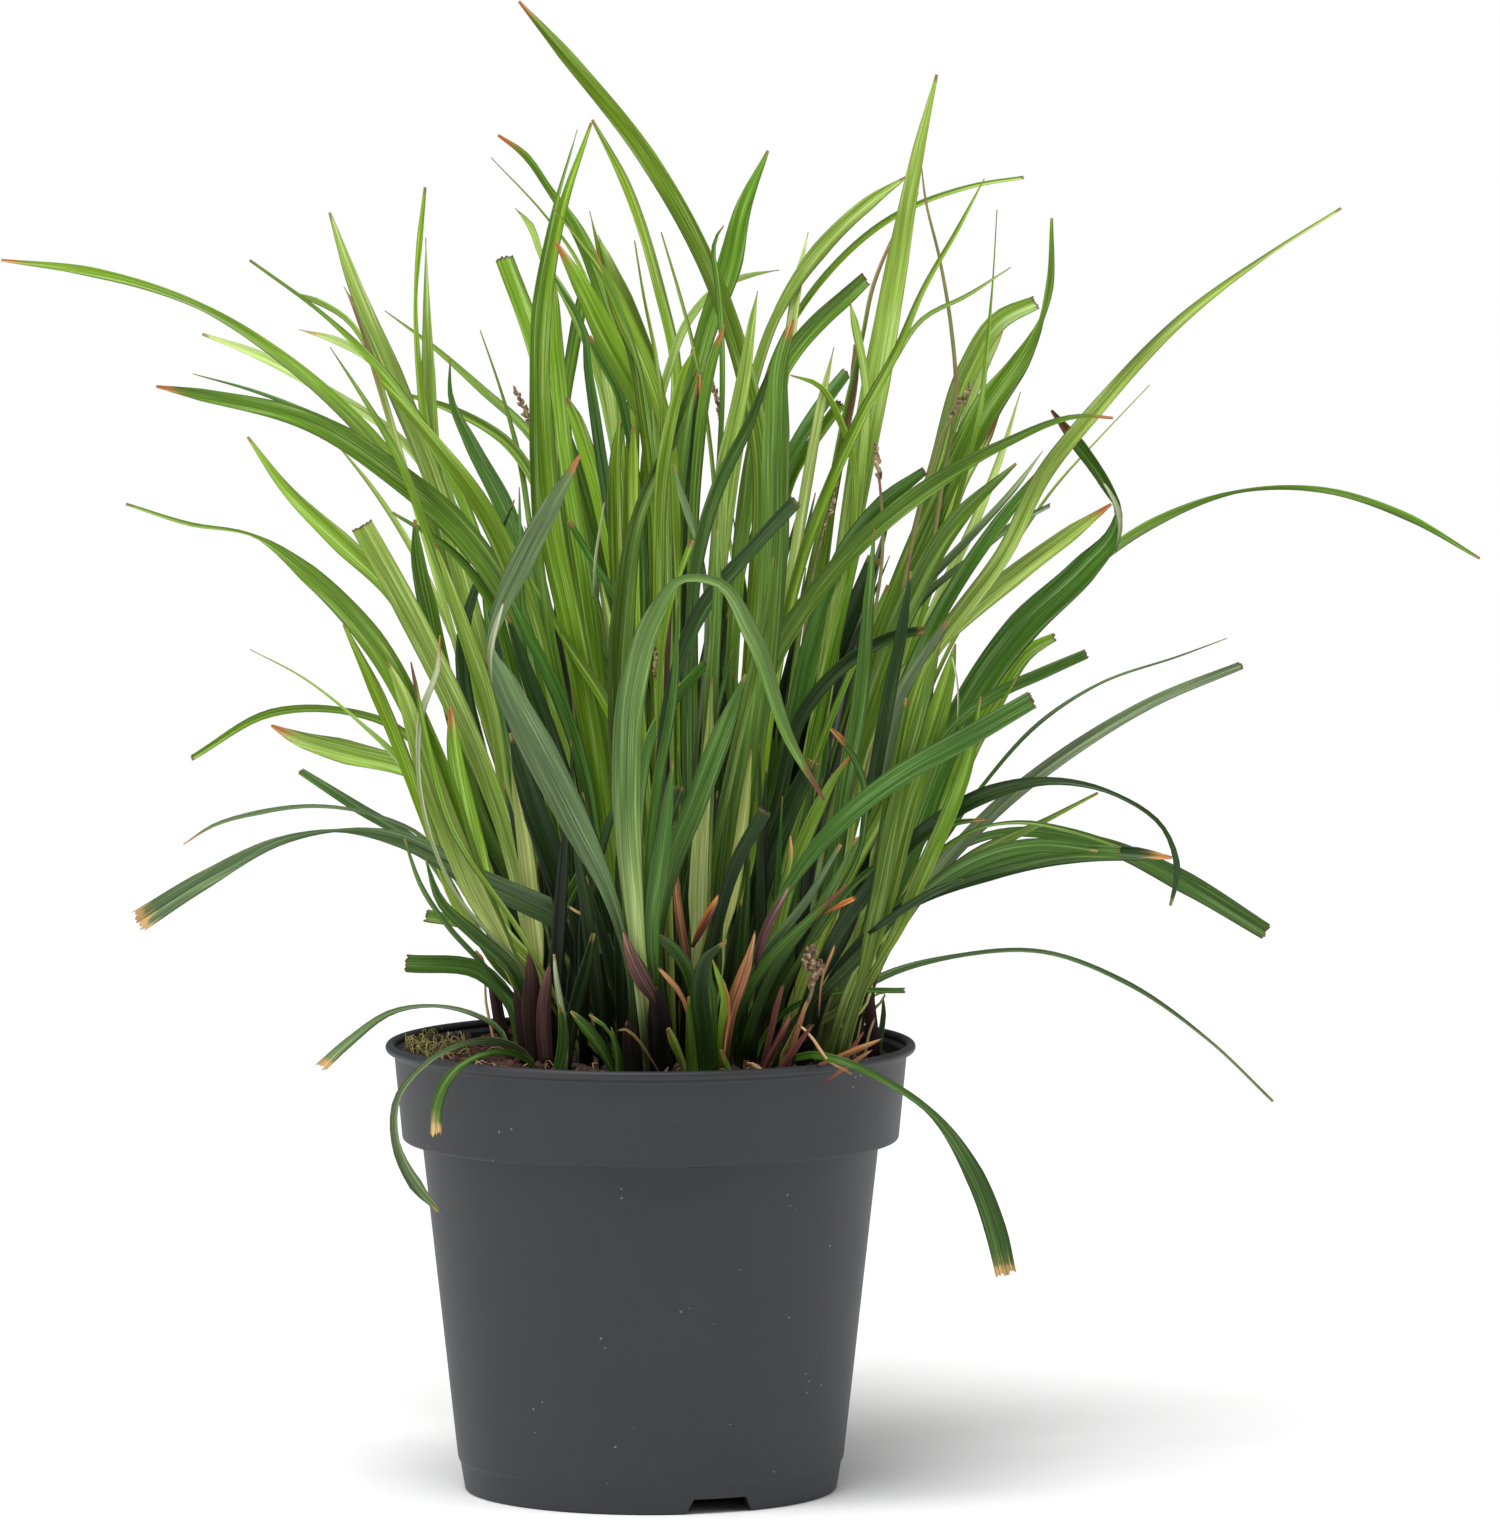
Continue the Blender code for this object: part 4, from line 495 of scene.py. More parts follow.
grey_blade_right 2.4 slate slate point: 83.2 177.4 .6, 83.4 171.6 1.9, 82.4 165.5 2.2, 81 158 2
stalk_right 1.8 dark maroon dry: 79 194 2.4, 78.6 185 3.2, 78.4 176 3.8, 79.2 168 4.6, 79.8 158 5
stalk_right_green 1.6 pale olive point: 80.4 197 .8, 79.8 190 1.8, 79.2 184 1.4, 78.5 178 1
sheath_left_a -9.9 dark maroon dry: -44 193 .6, -42.8 187 4.2, -42.6 180 6.4, -42.8 173 7, -42 165 6.5, -40 156 5
sheath_left_b -10.4 dark mauve dry: -36.2 189 .6, -37.2 182 4, -38.2 174 5.2, -38.2 166 5.6, -37 156 5
sheath_left_c -8.6 dark maroon dry: -48.6 181 .6, -47.4 176 3.8, -46 168 5, -43.5 158 5
shoot_left -3.5 pale olive point: -49.6 266 .6, -47.4 249 4.2, -45.5 236 5.2, -43.8 222 6.2, -42.6 211 6.2, -41.4 200.5 6.6, -40.4 192.5 4.8, -39.4 185 1.4, -39 172 1.4
sheath_left_d 6 dark maroon dry: -57.4 183 2, -55.6 177 4, -53.8 168 4.4, -50 158 4
orange_stub -18.3 dark flame dry: 73.1 212.8 1.5, 69.2 210.9 1.9, 65 208.6 1, 62 207 .5
brown_spot_left 0.4 dark tan dry: -62.6 194 .6, -61 191.4 2, -59.6 189 1, -57 184 .6
fold_white_left -20.6 dark white dry: -52.4 319 .5, -54.8 311.5 1.9, -56.8 304 2.5, -57.4 297 1.8, -56.6 289 .6
fold_white_right 2.5 dark white dry: 161.5 362 .5, 164.6 357 1.7, 167 351 2.3, 167.6 344 1.5, 166 337 .5
upright_left_a 8.6 green green point: -34.6 437 .8, -34 425 3.6, -33.4 410 5.2, -32 394 5.6, -30.4 376 5.6, -28 358 6, -25 340 6
upright_left_b 10.2 green mid point: -23.6 433 2, -25.6 420 4.8, -28.2 405 4.6, -30 392 3.6, -31 380 3
thin_dark_a 6.4 dark dark point: -35 437 .5, -30.5 429 1.5, -26.5 422.5 1.8, -23.4 415 2, -22.2 403 3, -20 388 3.8, -17.4 370 4.2, -14.4 352 4.6, -11.5 335 4.6, -9 318 4
bright_left 4.4 pale sunlit point: -17.8 410 2, -15 396 4.4, -13 382 3.4, -12 368 2.4
dark_under 3.2 dark dark point: -21.8 414 1.6, -16.5 404 3.4, -11 393.5 3.4, -8.6 384 3
inner_olive_a 3.6 green mid point: -6.6 394 .8, -9 385 3, -11.6 376 3.6, -13 365 4, -13 350 4.6, -12 330 5
inner_olive_b 4.2 green green point: -7 397 .8, -6.2 384 4.6, -6.6 366 5.2, -7.2 346 5.2, -7.5 325 4.5
inner_olive_c 4.6 green green point: -2.6 393 .8, -.8 381 3.6, -1.2 368 4.6, -2.5 350 4.6, -4 332 4
inner_left_a 8.2 green green point: -30 392 1.6, -26.4 384 5, -22.4 372 6, -18.8 360 6.2, -15.4 345 6.2, -12 328 6
inner_left_b 9.4 green mid point: -30 381 2, -26 366 5.4, -22 351 5.8, -18 336 5.8, -14 320 5.8
pale_rib_a -1.8 dark white dry: -16.3 355 .5, -18 345 .9, -19.5 335 1, -20.3 320 .9
inner_bright 2.8 pale sunlit point: -18.6 331 .5, -17.2 323 2, -15.2 313 3, -13.5 303 3.4
centre_dark_fill 7.2 dark dark point: 5 358 2, 1.5 346 6.4, -1.6 331 7.4, -3.6 315 7.4, -4 300 6
thin_slate_a -4.2 slate slate point: 8.4 368 .6, 11 358.5 2.4, 13.6 350 2.8, 16.8 340 1.8
top_small_hook 5.4 green mid point: 26.3 453.3 .4, 23.5 449 1.2, 22.5 443 1.8, 23.4 437 2
fan_near_a -14.6 green green point: 118 285 .6, 115.5 272 4, 112 258 5.6, 107 244 6, 101 230 6, 95 216.5 5.6, 89.4 203.5 4.6, 83.5 192.5 3, 78 184 1.6, 70 168 1.5
fan_near_b -14.9 green green point: 109 304 .6, 106.5 293 5, 103 280 8, 98.5 266 9, 94 252 9, 89.4 235 8, 85 215 7, 80.5 198 4.6, 77 186 2, 68 168 1.6
fan_near_c -15.2 green mid point: 103.5 305 .6, 100 292 3.6, 96 277 4, 91.8 262 4.4, 88 248 5, 85 232 6, 82 215 6, 78.5 198 5, 75.5 184.5 3, 67 168 3
slate_twist -3.9 slate slate point: 106 312 2, 98 298 6.4, 91 286 7.4, 87 272 7.4, 84 258 6.6, 82 245 5.4
twist_white -4.5 dark white dry: 84.4 284 .6, 82.6 276 .9, 81.2 266 .9, 79.2 255 .6
right_low_front -15.5 dark deep dry: 112 219.5 1, 101 215 2.8, 92.4 210 3, 84.6 204.6 2.6, 78 200 1.2
right_low_fill -13.4 dark dark point: 160 229.5 .8, 150 231 4, 138 231.6 5.4, 126 229.6 5.8, 114 224.8 5.8, 103 218 4.4, 95 211.5 3, 84 202 2
fan_top -8.1 green green point: 103 303 .6, 99.4 296 3.4, 96 287 5.8, 92.8 276 6.2, 89.4 262 6.2
hook_pale -15.6 dark white dry: 107.6 300 .4, 109.4 292 .7, 110 282 .7, 109.6 273 .4
left_low_near -8.4 pale pale point: -94 298 .8, -88 285 5, -82 266 8, -76.5 249 9, -69.5 231 9, -62.5 214 8, -55 200 6, -50 190 4
left_dark_near -5 dark deep point: -50 272 1, -46.5 260 6, -42 246 8.4, -36.5 232 9, -31 218 8.6, -27 205 7, -22 190 5
left_dark_far 3.4 dark deep point: -51 314 1, -46.5 300 4.4, -41 285 6, -35 268 6.4, -29 250 6, -24 232 5
torn_brown -18.1 dark brown dry: 24 211.5 .5, 21 205.8 2, 17.6 199.6 1.8, 15.2 195 .6
hollow_a -23.9 dark shadow dry: -8.5 168.5 .8, -7.5 165 5, -6.5 159 7, -6 151 7
"""


def smooth_run(rows, step):
    """Rows every `step` mm along a cubic Hermite curve through them, slopes by differences."""
    along = np.concatenate(([0], np.cumsum(np.hypot(*np.diff(rows[:, :2], axis=0).T))))
    slopes = np.gradient(rows, along, axis=0)
    places = np.linspace(0, along[-1], max(8, int(along[-1] / step)))
    places = np.sort(np.concatenate((places, (0.5, 1.1, 2.0, 3.2))))
    i = np.clip(np.searchsorted(along, places, "right") - 1, 0, len(rows) - 2)
    span = (along[i + 1] - along[i])[:, None]
    t = (places - along[i])[:, None] / span
    run = ((1 + 2 * t) * (1 - t) ** 2 * rows[i] + t * (1 - t) ** 2 * span * slopes[i]
           + t * t * (3 - 2 * t) * rows[i + 1] + t * t * (t - 1) * span * slopes[i + 1])
    run[:, 2] = np.interp(places, along, rows[:, 2])
    return run, places


def rooted(rows):
    """Rows continued to the soil, drawn in towards the heart of the tuft."""
    x, z, w = rows[-1][:3]
    if z < 170 or len(rows[-1]) > 3:
        return rows
    base = float(np.clip(12 + (x - 12) * 0.42, -46, 78))
    mid = (x + (base - x) * 0.55, z + (156 - z) * 0.5, max(w * 0.9, 1.5))
    more = [mid] if z > 200 else []
    return rows + more + [(base, 156.0, max(min(w, 4.0), 1.5))]


def depth(order, x, z):
    """y = order * (step + fan * distance from the heart), in mm."""
    return order * (ORDER_STEP + FAN * np.hypot(x - HEART[0], z - HEART[1]))


def moved_to(x, z, y):
    """E + (P - E) * (y - E_y) / -E_y for the layout point P = (x, 0, z) and the camera E."""
    scale = (y - EYE[1]) / -EYE[1]
    return np.stack([EYE[0] + (x - EYE[0]) * scale, y, EYE[2] + (z - EYE[2]) * scale], -1)


# Tip, middle and base colours of each tone of leaf, from the sunlit outer ones to the deep shade.
# Painted light and shade in these tones: sunlit is partly painted light, deep and shade are partly painted shade,
# shadow is painted shade for dark hollows, and white is a painted highlight for the gloss on folds.
TONES = {
    "sunlit": ("#B0CB6C", "#98B658", "#B4C274"),
    "pale": ("#93B048", "#83A13E", "#A9B36A"),
    "green": ("#74981E", "#678A18", "#84983C"),
    "mid": ("#5C8420", "#527518", "#5C7428"),
    "dark": ("#467021", "#3E651B", "#35501A"),
    "deep": ("#2A4818", "#203A10", "#1A2A0E"),
    "slate": ("#64804A", "#567240", "#465E36"),
    "grey": ("#6A8052", "#5F7648", "#5C6E44"),
    "olive": ("#8FA04A", "#A6B362", "#B4BC72"),
    "white": ("#C3CBA8", "#A9B58A", "#56702A"),
    "flame": ("#D58A38", "#B0602C", "#6A3420"),
    "tan": ("#B98A5C", "#96603E", "#48282A"),
    "cream": ("#DDBB8E", "#C9A274", "#9C7850"),
    "brown": ("#7E4C3C", "#5E3028", "#3E221C"),
    "straw": ("#B39C6A", "#8E7A48", "#6A5A34"),
    "mauve": ("#7E5A50", "#5C3C3A", "#33201F"),
    "maroon": ("#4E2E2C", "#38201F", "#1D1113"),
    "purple": ("#5A4238", "#35221F", "#1E1412"),
    "arch": ("#5C7C2C", "#5A7A34", "#B4C478"),
    "shade": ("#24381A", "#182611", "#10180B"),
    "shadow": ("#2B1D1C", "#1C1414", "#120E0D"),
}
# Length in mm of the coloured end, its colour and the raggedness of the cut.
TIPS = {"point": (3.0, "#8C7A3E", 0.0), "orange": (8.0, "#B8733A", 0.0),
        "brown": (14.0, "#6B442A", 0.0), "cut": (1.0, "#5E5632", 0.5),
        "frayed": (4.5, "#C29A60", 1.4), "dry": (0.8, "#6A4A34", 0.6),
        "dead": (46.0, "#8F7048", 0.0)}


def shell(points, thick, first):
    """Closed skin of a sheet: each row's points moved out by thick / 2 along the sheet's normal
    on one side and the other, joined in rings and capped at both ends."""
    ds, du = np.gradient(points, axis=0), np.gradient(points, axis=1)
    normal = np.cross(ds, du)
    normal /= np.maximum(np.linalg.norm(normal, axis=-1, keepdims=True), 1e-9)
    ring = np.concatenate([points + normal * thick / 2, (points - normal * thick / 2)[:, ::-1]], 1)
    n, m = ring.shape[:2]
    i, j = np.meshgrid(np.arange(n - 1), np.arange(m), indexing="ij")
    k = (j + 1) % m
    quads = np.stack([i * m + j, (i + 1) * m + j, (i + 1) * m + k, i * m + k], -1)
    half = m // 2
    j = np.arange(half - 1)
    cap = np.stack([j, j + 1, m - 2 - j, m - 1 - j], -1)
    return ring.reshape(-1, 3), np.concatenate(
        [quads.reshape(-1, 4), cap, (n - 1) * m + cap[:, ::-1]]) + first


def blade(order, tone, tip, rows, step, gen):
    """Leaf skin in mm, how thick it is, vertex colours, place across and along, width, side."""
    run, along = smooth_run(np.array(rows if tip == "dry" else rooted(rows), float), step)
    end, end_code, ragged = TIPS[tip]
    n, m = len(run), 15 if ragged else 5 if step > 5 or run[:, 2].max() < 2.4 else 9
    u = np.linspace(-1, 1, m)[None, :]
    width = np.maximum(run[:, 2:3], 0.35)
    if tip in ("cut", "frayed"):
        width = np.maximum(width, 1.0)
    heading = np.gradient(run[:, :2], axis=0)
    heading /= np.linalg.norm(heading, axis=1)[:, None]
    teeth = ragged * (0.5 * np.sin(u * gen.uniform(1, 3) + gen.uniform(0, 6))
                      + 0.9 * gen.uniform(-1, 1, (1, m)))
    pull = teeth * np.exp(-along[:, None] / (1.0 + ragged))
    x = run[:, 0:1] - heading[:, 1:2] * u * width / 2 + heading[:, 0:1] * pull
    z = run[:, 1:2] + heading[:, 0:1] * u * width / 2 + heading[:, 1:2] * pull
    own = run[:, 3:4] if run.shape[1] > 3 else depth(order, x, z)
    near = np.clip(np.hypot(x - HEART[0], z - HEART[1]) / 120, 0.2, 1)
    roll = gen.uniform(-0.6, 0.6) + 0.35 * np.sin(along[:, None] / gen.uniform(40, 90)
                                                 + gen.uniform(0, 6))
    fold = 0.30 * (1 - np.sqrt(u * u + 0.015)) * gen.uniform(0.5, 1.3)
    if tip == "dry":
        roll, fold = 0.15, -0.26 * (1 - u * u)
    y = own + width * (fold + roll * u / 2) * near
    points = moved_to(x, z, y)
    floor = peat_height(points[-1, :, 0], points[-1, :, 1]) - 1.5
    drop = np.clip((points[-1, :, 2] - floor), -6, 12)
    share = np.clip(1 - (along[-1] - along) / 25, 0, 1)[:, None] ** 2
    if points[-1, :, 2].mean() < 175:
        points[:, :, 2] -= share * drop
    thick = (0.12 + 0.3 * (1 - u * u) ** 0.5)[..., None] * np.clip(width / 2, 0.3, 1)[..., None]

    tip_c, mid_c, base_c = (np.array(srgb(c)[:3]) for c in TONES[tone])
    high = np.clip((along / along[-1])[:, None, None], 0, 1)
    colour = tip_c + (mid_c - tip_c) * np.clip(high * 3, 0, 1)
    low = np.clip((250 - run[:, 1]) / 80, 0, 1)[:, None, None] ** 1.2
    if tip == "dry":
        low = np.clip(high * 2 - 1, 0, 1)
    elif run[:, 1].max() < 200:
        low = low * 0.35
    colour = colour + (base_c - colour) * low
    # Painted shade: tall leaves darken to 0.3 of their colour towards the foot of the tuft, from z 198 mm down to 160
    # mm.
    if tip != "dry" and run[:, 1].max() > 200:
        shaded = np.clip((run[:, 1] - 160) / 38, 0, 1)[:, None, None]
        colour = colour * (0.3 + 0.7 * shaded * shaded * (3 - 2 * shaded))
    # Painted light and shade across the blade: one half lighter and the other darker by a random amount, as light falls
    # on the fold, and the middle made paler by a random amount.
    across = 1 + gen.uniform(-0.34, 0.34) * u + gen.uniform(-0.05, 0.5) * (0.5 - u * u)
    wander = 1 + 0.12 * np.sin(along[:, None] / gen.uniform(9, 25) + gen.uniform(0, 6))
    colour = colour * (across * wander)[..., None] * gen.uniform(0.85, 1.18) * gen.uniform(
        0.95, 1.05, 3)
    fade = gen.uniform(-1, 1, (1, m)) * 0.25 * end
    spent = np.clip((end - along[:, None] + fade) / (0.35 * end), 0, 1)[..., None]
    colour = colour + (np.array(srgb(end_code)[:3]) - colour) * spent
    colour = np.clip(colour, 0, 1) * np.ones((n, m, 1))
    both = lambda a: np.concatenate([a, a[:, ::-1]], 1)
    across = both(np.broadcast_to(u, (n, m)))
    mm_along = both(np.broadcast_to(along[:, None], (n, m)))
    wide = both(np.broadcast_to(width, (n, m)))
    back = np.concatenate([np.zeros((n, m)), np.ones((n, m))], 1)
    return points, thick, both(colour), across, mm_along, wide, back


def leaf_piece(name, look, leaves, seed):
    """One object of many blades, with the layers "tint" (colour and, as alpha, under side) and
    "veins" (x = share across, y = width / 20 and z = 10 cm along)."""
    gen = np.random.default_rng(seed)
    verts, faces, tint, veins, first = [], [], [], [], 0
    for order, tone, tip, rows, step in leaves:
        points, thick, colour, across, along, wide, back = blade(order, tone, tip, rows, step, gen)
        skin, quads = shell(points, thick, first)
        first += len(skin)
        verts.append(skin)
        faces.append(quads)
        tint.append(np.concatenate([colour.reshape(-1, 3), back.reshape(-1, 1)], 1))
        veins.append(np.stack([across.ravel(), wide.ravel() / 20,
                               along.ravel() / 100 + gen.uniform(0, 50)], 1))
    verts, faces = np.concatenate(verts) * MM, np.concatenate(faces)
    mesh = bpy.data.meshes.new(name)
    mesh.vertices.add(len(verts))
    mesh.vertices.foreach_set("co", verts.ravel())
    mesh.loops.add(faces.size)
    mesh.loops.foreach_set("vertex_index", faces.ravel().astype(np.int32))
    mesh.polygons.add(len(faces))
    mesh.polygons.foreach_set("loop_start", np.arange(0, faces.size, 4, dtype=np.int32))
    mesh.update(calc_edges=True)
    layer = mesh.attributes.new("tint", "FLOAT_COLOR", "POINT")
    layer.data.foreach_set("color", np.concatenate(tint).astype(np.float32).ravel())
    layer = mesh.attributes.new("veins", "FLOAT_VECTOR", "POINT")
    layer.data.foreach_set("vector", np.concatenate(veins).astype(np.float32).ravel())
    mesh.materials.append(look)
    mesh.shade_smooth()
    made = bpy.data.objects.new(name, mesh)
    bpy.context.scene.collection.objects.link(made)
    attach(made, "root")
    return made


def leaf_material(name, rough, streak, specular):
    """Waxy leaf: the tint in fine darker and paler lines along the blade, near-white painted sheen on the brightest
    line crests, painted shade in the midrib groove, thin brown margins and a paler under side. The lines also make the
    bump and vary the gloss."""
    look, tree, shader = material(name)
    tint = node(tree, "ShaderNodeAttribute", {"attribute_name": "tint"})
    veins = node(tree, "ShaderNodeAttribute", {"attribute_name": "veins"})
    part = node(tree, "ShaderNodeSeparateXYZ", i0=veins.outputs["Vector"])
    cm_across = node(tree, "ShaderNodeMath", {"operation": "MULTIPLY"}, i0=part.outputs[0],
                     i1=part.outputs[1])
    flat = node(tree, "ShaderNodeCombineXYZ", i0=cm_across.outputs[0], i1=part.outputs[2])
    patterns = []
    for per_cm, along in ((15.0, 2.0), (4.6, 1.6)):
        laid = node(tree, "ShaderNodeMapping", Vector=flat.outputs[0])
        laid.inputs["Scale"].default_value = (per_cm, along, 1.0)
        patterns.append(node(tree, "ShaderNodeTexNoise", {"noise_dimensions": "2D"}, Scale=1.0,
                             Vector=laid.outputs[0], Detail=2.5, Roughness=0.6))
    lines, bands = patterns
    both = node(tree, "ShaderNodeMix", i0=0.38, i2=lines.outputs[0], i3=bands.outputs[0])
    vein = node(tree, "ShaderNodeMapRange", Value=both.outputs[0], From_Min=0.36, From_Max=0.64)
    gain = node(tree, "ShaderNodeMapRange", Value=vein.outputs[0], To_Min=1 - streak,
                To_Max=1 + streak)
    rib = node(tree, "ShaderNodeMath", {"operation": "ABSOLUTE"}, i0=part.outputs[0])
    # Painted shade: the colour darkens to 0.78 of itself in the midrib groove.
    groove = node(tree, "ShaderNodeMapRange", Value=rib.outputs[0], From_Min=0.03,
                  From_Max=0.15, To_Min=0.78, To_Max=1.0)
    shade = node(tree, "ShaderNodeMath", {"operation": "MULTIPLY"}, i0=gain.outputs[0],
                 i1=groove.outputs[0])
    body = node(tree, "ShaderNodeVectorMath", {"operation": "SCALE"}, i0=tint.outputs["Color"],
                Scale=shade.outputs[0])
    # Near-white on the vein crests of the brighter leaves: partly the pale streaks of the blade and partly painted
    # sheen.
    bright = node(tree, "ShaderNodeVectorMath", {"operation": "LENGTH"}, i0=tint.outputs["Color"])
    streak_sheen = node(tree, "ShaderNodeMapRange", Value=vein.outputs[0], From_Min=0.62, From_Max=1.0,
                 To_Max=0.75)
    pale = node(tree, "ShaderNodeMath", {"operation": "MULTIPLY", "use_clamp": True},
                i0=streak_sheen.outputs[0], i1=bright.outputs["Value"])
    lined = node(tree, "ShaderNodeMix", {"data_type": "RGBA"}, i0=pale.outputs[0],
                 i6=body.outputs[0], i7=srgb("#D5DFAE"))
    margin = node(tree, "ShaderNodeMapRange", Value=rib.outputs[0], From_Min=0.9, From_Max=0.98,
                  To_Max=0.3)
    edged = node(tree, "ShaderNodeMix", {"data_type": "RGBA"}, i0=margin.outputs[0],
                 i6=lined.outputs[2], i7=srgb("#3E3A1C"))
    under = node(tree, "ShaderNodeMath", {"operation": "MULTIPLY"}, i0=tint.outputs["Alpha"],
                 i1=0.18)
    faced = node(tree, "ShaderNodeMix", {"data_type": "RGBA"}, i0=under.outputs[0],
                 i6=edged.outputs[2], i7=srgb("#8C9E58"))
    tree.links.new(faced.outputs[2], shader.inputs["Base Color"])
    bump = node(tree, "ShaderNodeBump", Strength=0.35, Distance=0.0003, Height=both.outputs[0])
    tree.links.new(bump.outputs[0], shader.inputs["Normal"])
    gloss = node(tree, "ShaderNodeMapRange", Value=bands.outputs[0], From_Min=0.3, From_Max=0.7,
                 To_Min=rough - 0.07, To_Max=rough + 0.09)
    tree.links.new(gloss.outputs[0], shader.inputs["Roughness"])
    shader.inputs["Specular IOR Level"].default_value = specular
    return look


# Dry tones, and among them white, a painted gloss, and shadow, a painted shade.
DRY_AND_PAINTED_TONES = ("white", "flame", "tan", "cream", "brown", "straw", "mauve", "maroon", "purple", "shadow")
groups, solid = {}, {}
for entry in LEAVES.strip().split("\n"):
    head, points = entry.split(":")
    name, order, slot, tone, tip = head.split()
    rows = [tuple(float(v) for v in point.split()) for point in points.split(",")]
    groups.setdefault("dead" if tone in DRY_AND_PAINTED_TONES else slot, []).append(
        (float(order), tone, tip, rows, 4.0))
    if "leaf_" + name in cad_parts:
        solid.setdefault(slot, []).append("leaf_" + name)

# Shoots inside the tuft, which only show in the gaps between the others. They stay within the
# dense part of the outline: its left and right edge in mm at each height.
EDGE_Z = (160, 180, 200, 230, 260, 300, 340, 370, 400)
EDGE_LEFT = (-38, -44, -52, -64, -72, -72, -60, -44, -30)
EDGE_RIGHT = (60, 66, 76, 92, 100, 104, 100, 92, 78)


def filler(gen, order, z_top, spread, wide, tones):
    """Rows of a shoot from a random root, leaning and arching a little, kept within the edges."""
    x0 = gen.uniform(-36, 58)
    lean = (x0 - 15) * 0.0032 + gen.normal(0, spread)
    t = np.array((0, 0.25, 0.5, 0.75, 1.0))
    z = z_top + (156 - z_top) * t
    x = x0 + lean * (z_top - 156) * (1 - t) ** gen.uniform(1.1, 1.7)
    w = wide * np.array((0.08, 0.7, 1.0, 0.95, 0.6))
    x = np.clip(x, np.interp(z, EDGE_Z, EDGE_LEFT) + wide / 2,
                np.interp(z, EDGE_Z, EDGE_RIGHT) - wide / 2)
    tone = gen.choice(tones)
    slot = "pale" if tone in ("sunlit", "pale") else "green" if tone in ("green", "mid") else "dark"
    groups[slot].append((order, tone, "point",
                         list(zip(x, z, w)), 8.0))


# The fillers mostly take the dark, deep and shade tones: painted shade inside the tuft.
gen = np.random.default_rng(41)
for _ in range(120):
    filler(gen, gen.uniform(5, 27), 362 - abs(gen.normal(0, 60)), 0.14, gen.uniform(4, 8),
           ("mid", "dark", "dark", "dark", "deep", "shade", "shade"))
for _ in range(70):
    filler(gen, gen.uniform(2, 20), gen.uniform(215, 300), 0.12, gen.uniform(4, 8),
           ("dark", "dark", "deep", "shade", "shade"))
for _ in range(45):
    filler(gen, gen.uniform(-13, 1), gen.uniform(200, 270), 0.12, gen.uniform(3, 5.5),
           ("dark", "deep", "deep", "shade"))

for slot, rough, streak, specular in (("green", 0.42, 0.36, 0.22), ("dark", 0.36, 0.38, 0.24),
                                      ("pale", 0.44, 0.34, 0.24), ("slate", 0.32, 0.38, 0.36)):
    look = leaf_material("leaf_" + slot, rough, streak, specular)
    piece = leaf_piece("leaves_" + slot, look, groups[slot], len(slot))
    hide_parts(*solid[slot])
# This piece holds the sheaths and dead strips, and also the white strips painted as gloss on folds and the shadow-toned
# sheets painted as shade in the hollow at the foot.
piece = leaf_piece("sheaths_dead_strips_painted_gloss_and_shade", leaf_material("dead_leaf_painted_gloss_and_shade", 0.6, 0.4, 0.2),
                   groups["dead"], 5)

# Flower stems.
# Thin round stems, all but the first with a small dried spike of overlapping papery scales.
def tube(path, radius, sides=8):
    """Closed round tube of mm radii along a path: p + r (a cos t + b sin t)."""
    path, radius = np.asarray(path, float), np.asarray(radius, float)[:, None, None]
    ahead = np.gradient(path, axis=0)
    ahead /= np.linalg.norm(ahead, axis=1)[:, None]
    side = np.cross(ahead, (0.13, -1.0, 0.21))
    side /= np.linalg.norm(side, axis=1)[:, None]
    up = np.cross(ahead, side)
    t = np.linspace(0, 2 * np.pi, sides, endpoint=False)[None, :, None]
    ring = path[:, None] + radius * (side[:, None] * np.cos(t) + up[:, None] * np.sin(t))
    n = len(path)
    i, j = np.meshgrid(np.arange(n - 1), np.arange(sides), indexing="ij")
    k = (j + 1) % sides
    quads = np.stack([i * sides + j, i * sides + k, (i + 1) * sides + k, (i + 1) * sides + j], -1)
    faces = quads.reshape(-1, 4).tolist()
    faces += [list(range(sides))[::-1], [(n - 1) * sides + s for s in range(sides)]]
    return ring.reshape(-1, 3), faces


def joined(parts):
    """Points and faces of several parts as one."""
    verts, faces, first = [], [], 0
    for points, polygons in parts:
        verts.append(points)
        faces += [[first + v for v in f] for f in polygons]
        first += len(points)
    return np.concatenate(verts), faces


def stem_look(name, stops, scale, rough):
    """Dry plant matter: blotches through a colour ramp and a fine fibrous bump."""
    look, tree, shader = material(name)
    place = node(tree, "ShaderNodeTexCoord").outputs["Object"]
    blotch = node(tree, "ShaderNodeTexNoise", Vector=place, Scale=scale, Detail=4.0)
    tree.links.new(ramp(tree, blotch.outputs[0], stops), shader.inputs["Base Color"])
    fibre = node(tree, "ShaderNodeTexNoise", Vector=place, Scale=scale * 6, Detail=2.0)
    bump = node(tree, "ShaderNodeBump", Strength=0.5, Distance=0.0003, Height=fibre.outputs[0])
    tree.links.new(bump.outputs[0], shader.inputs["Normal"])
    shader.inputs["Roughness"].default_value = rough
    return look


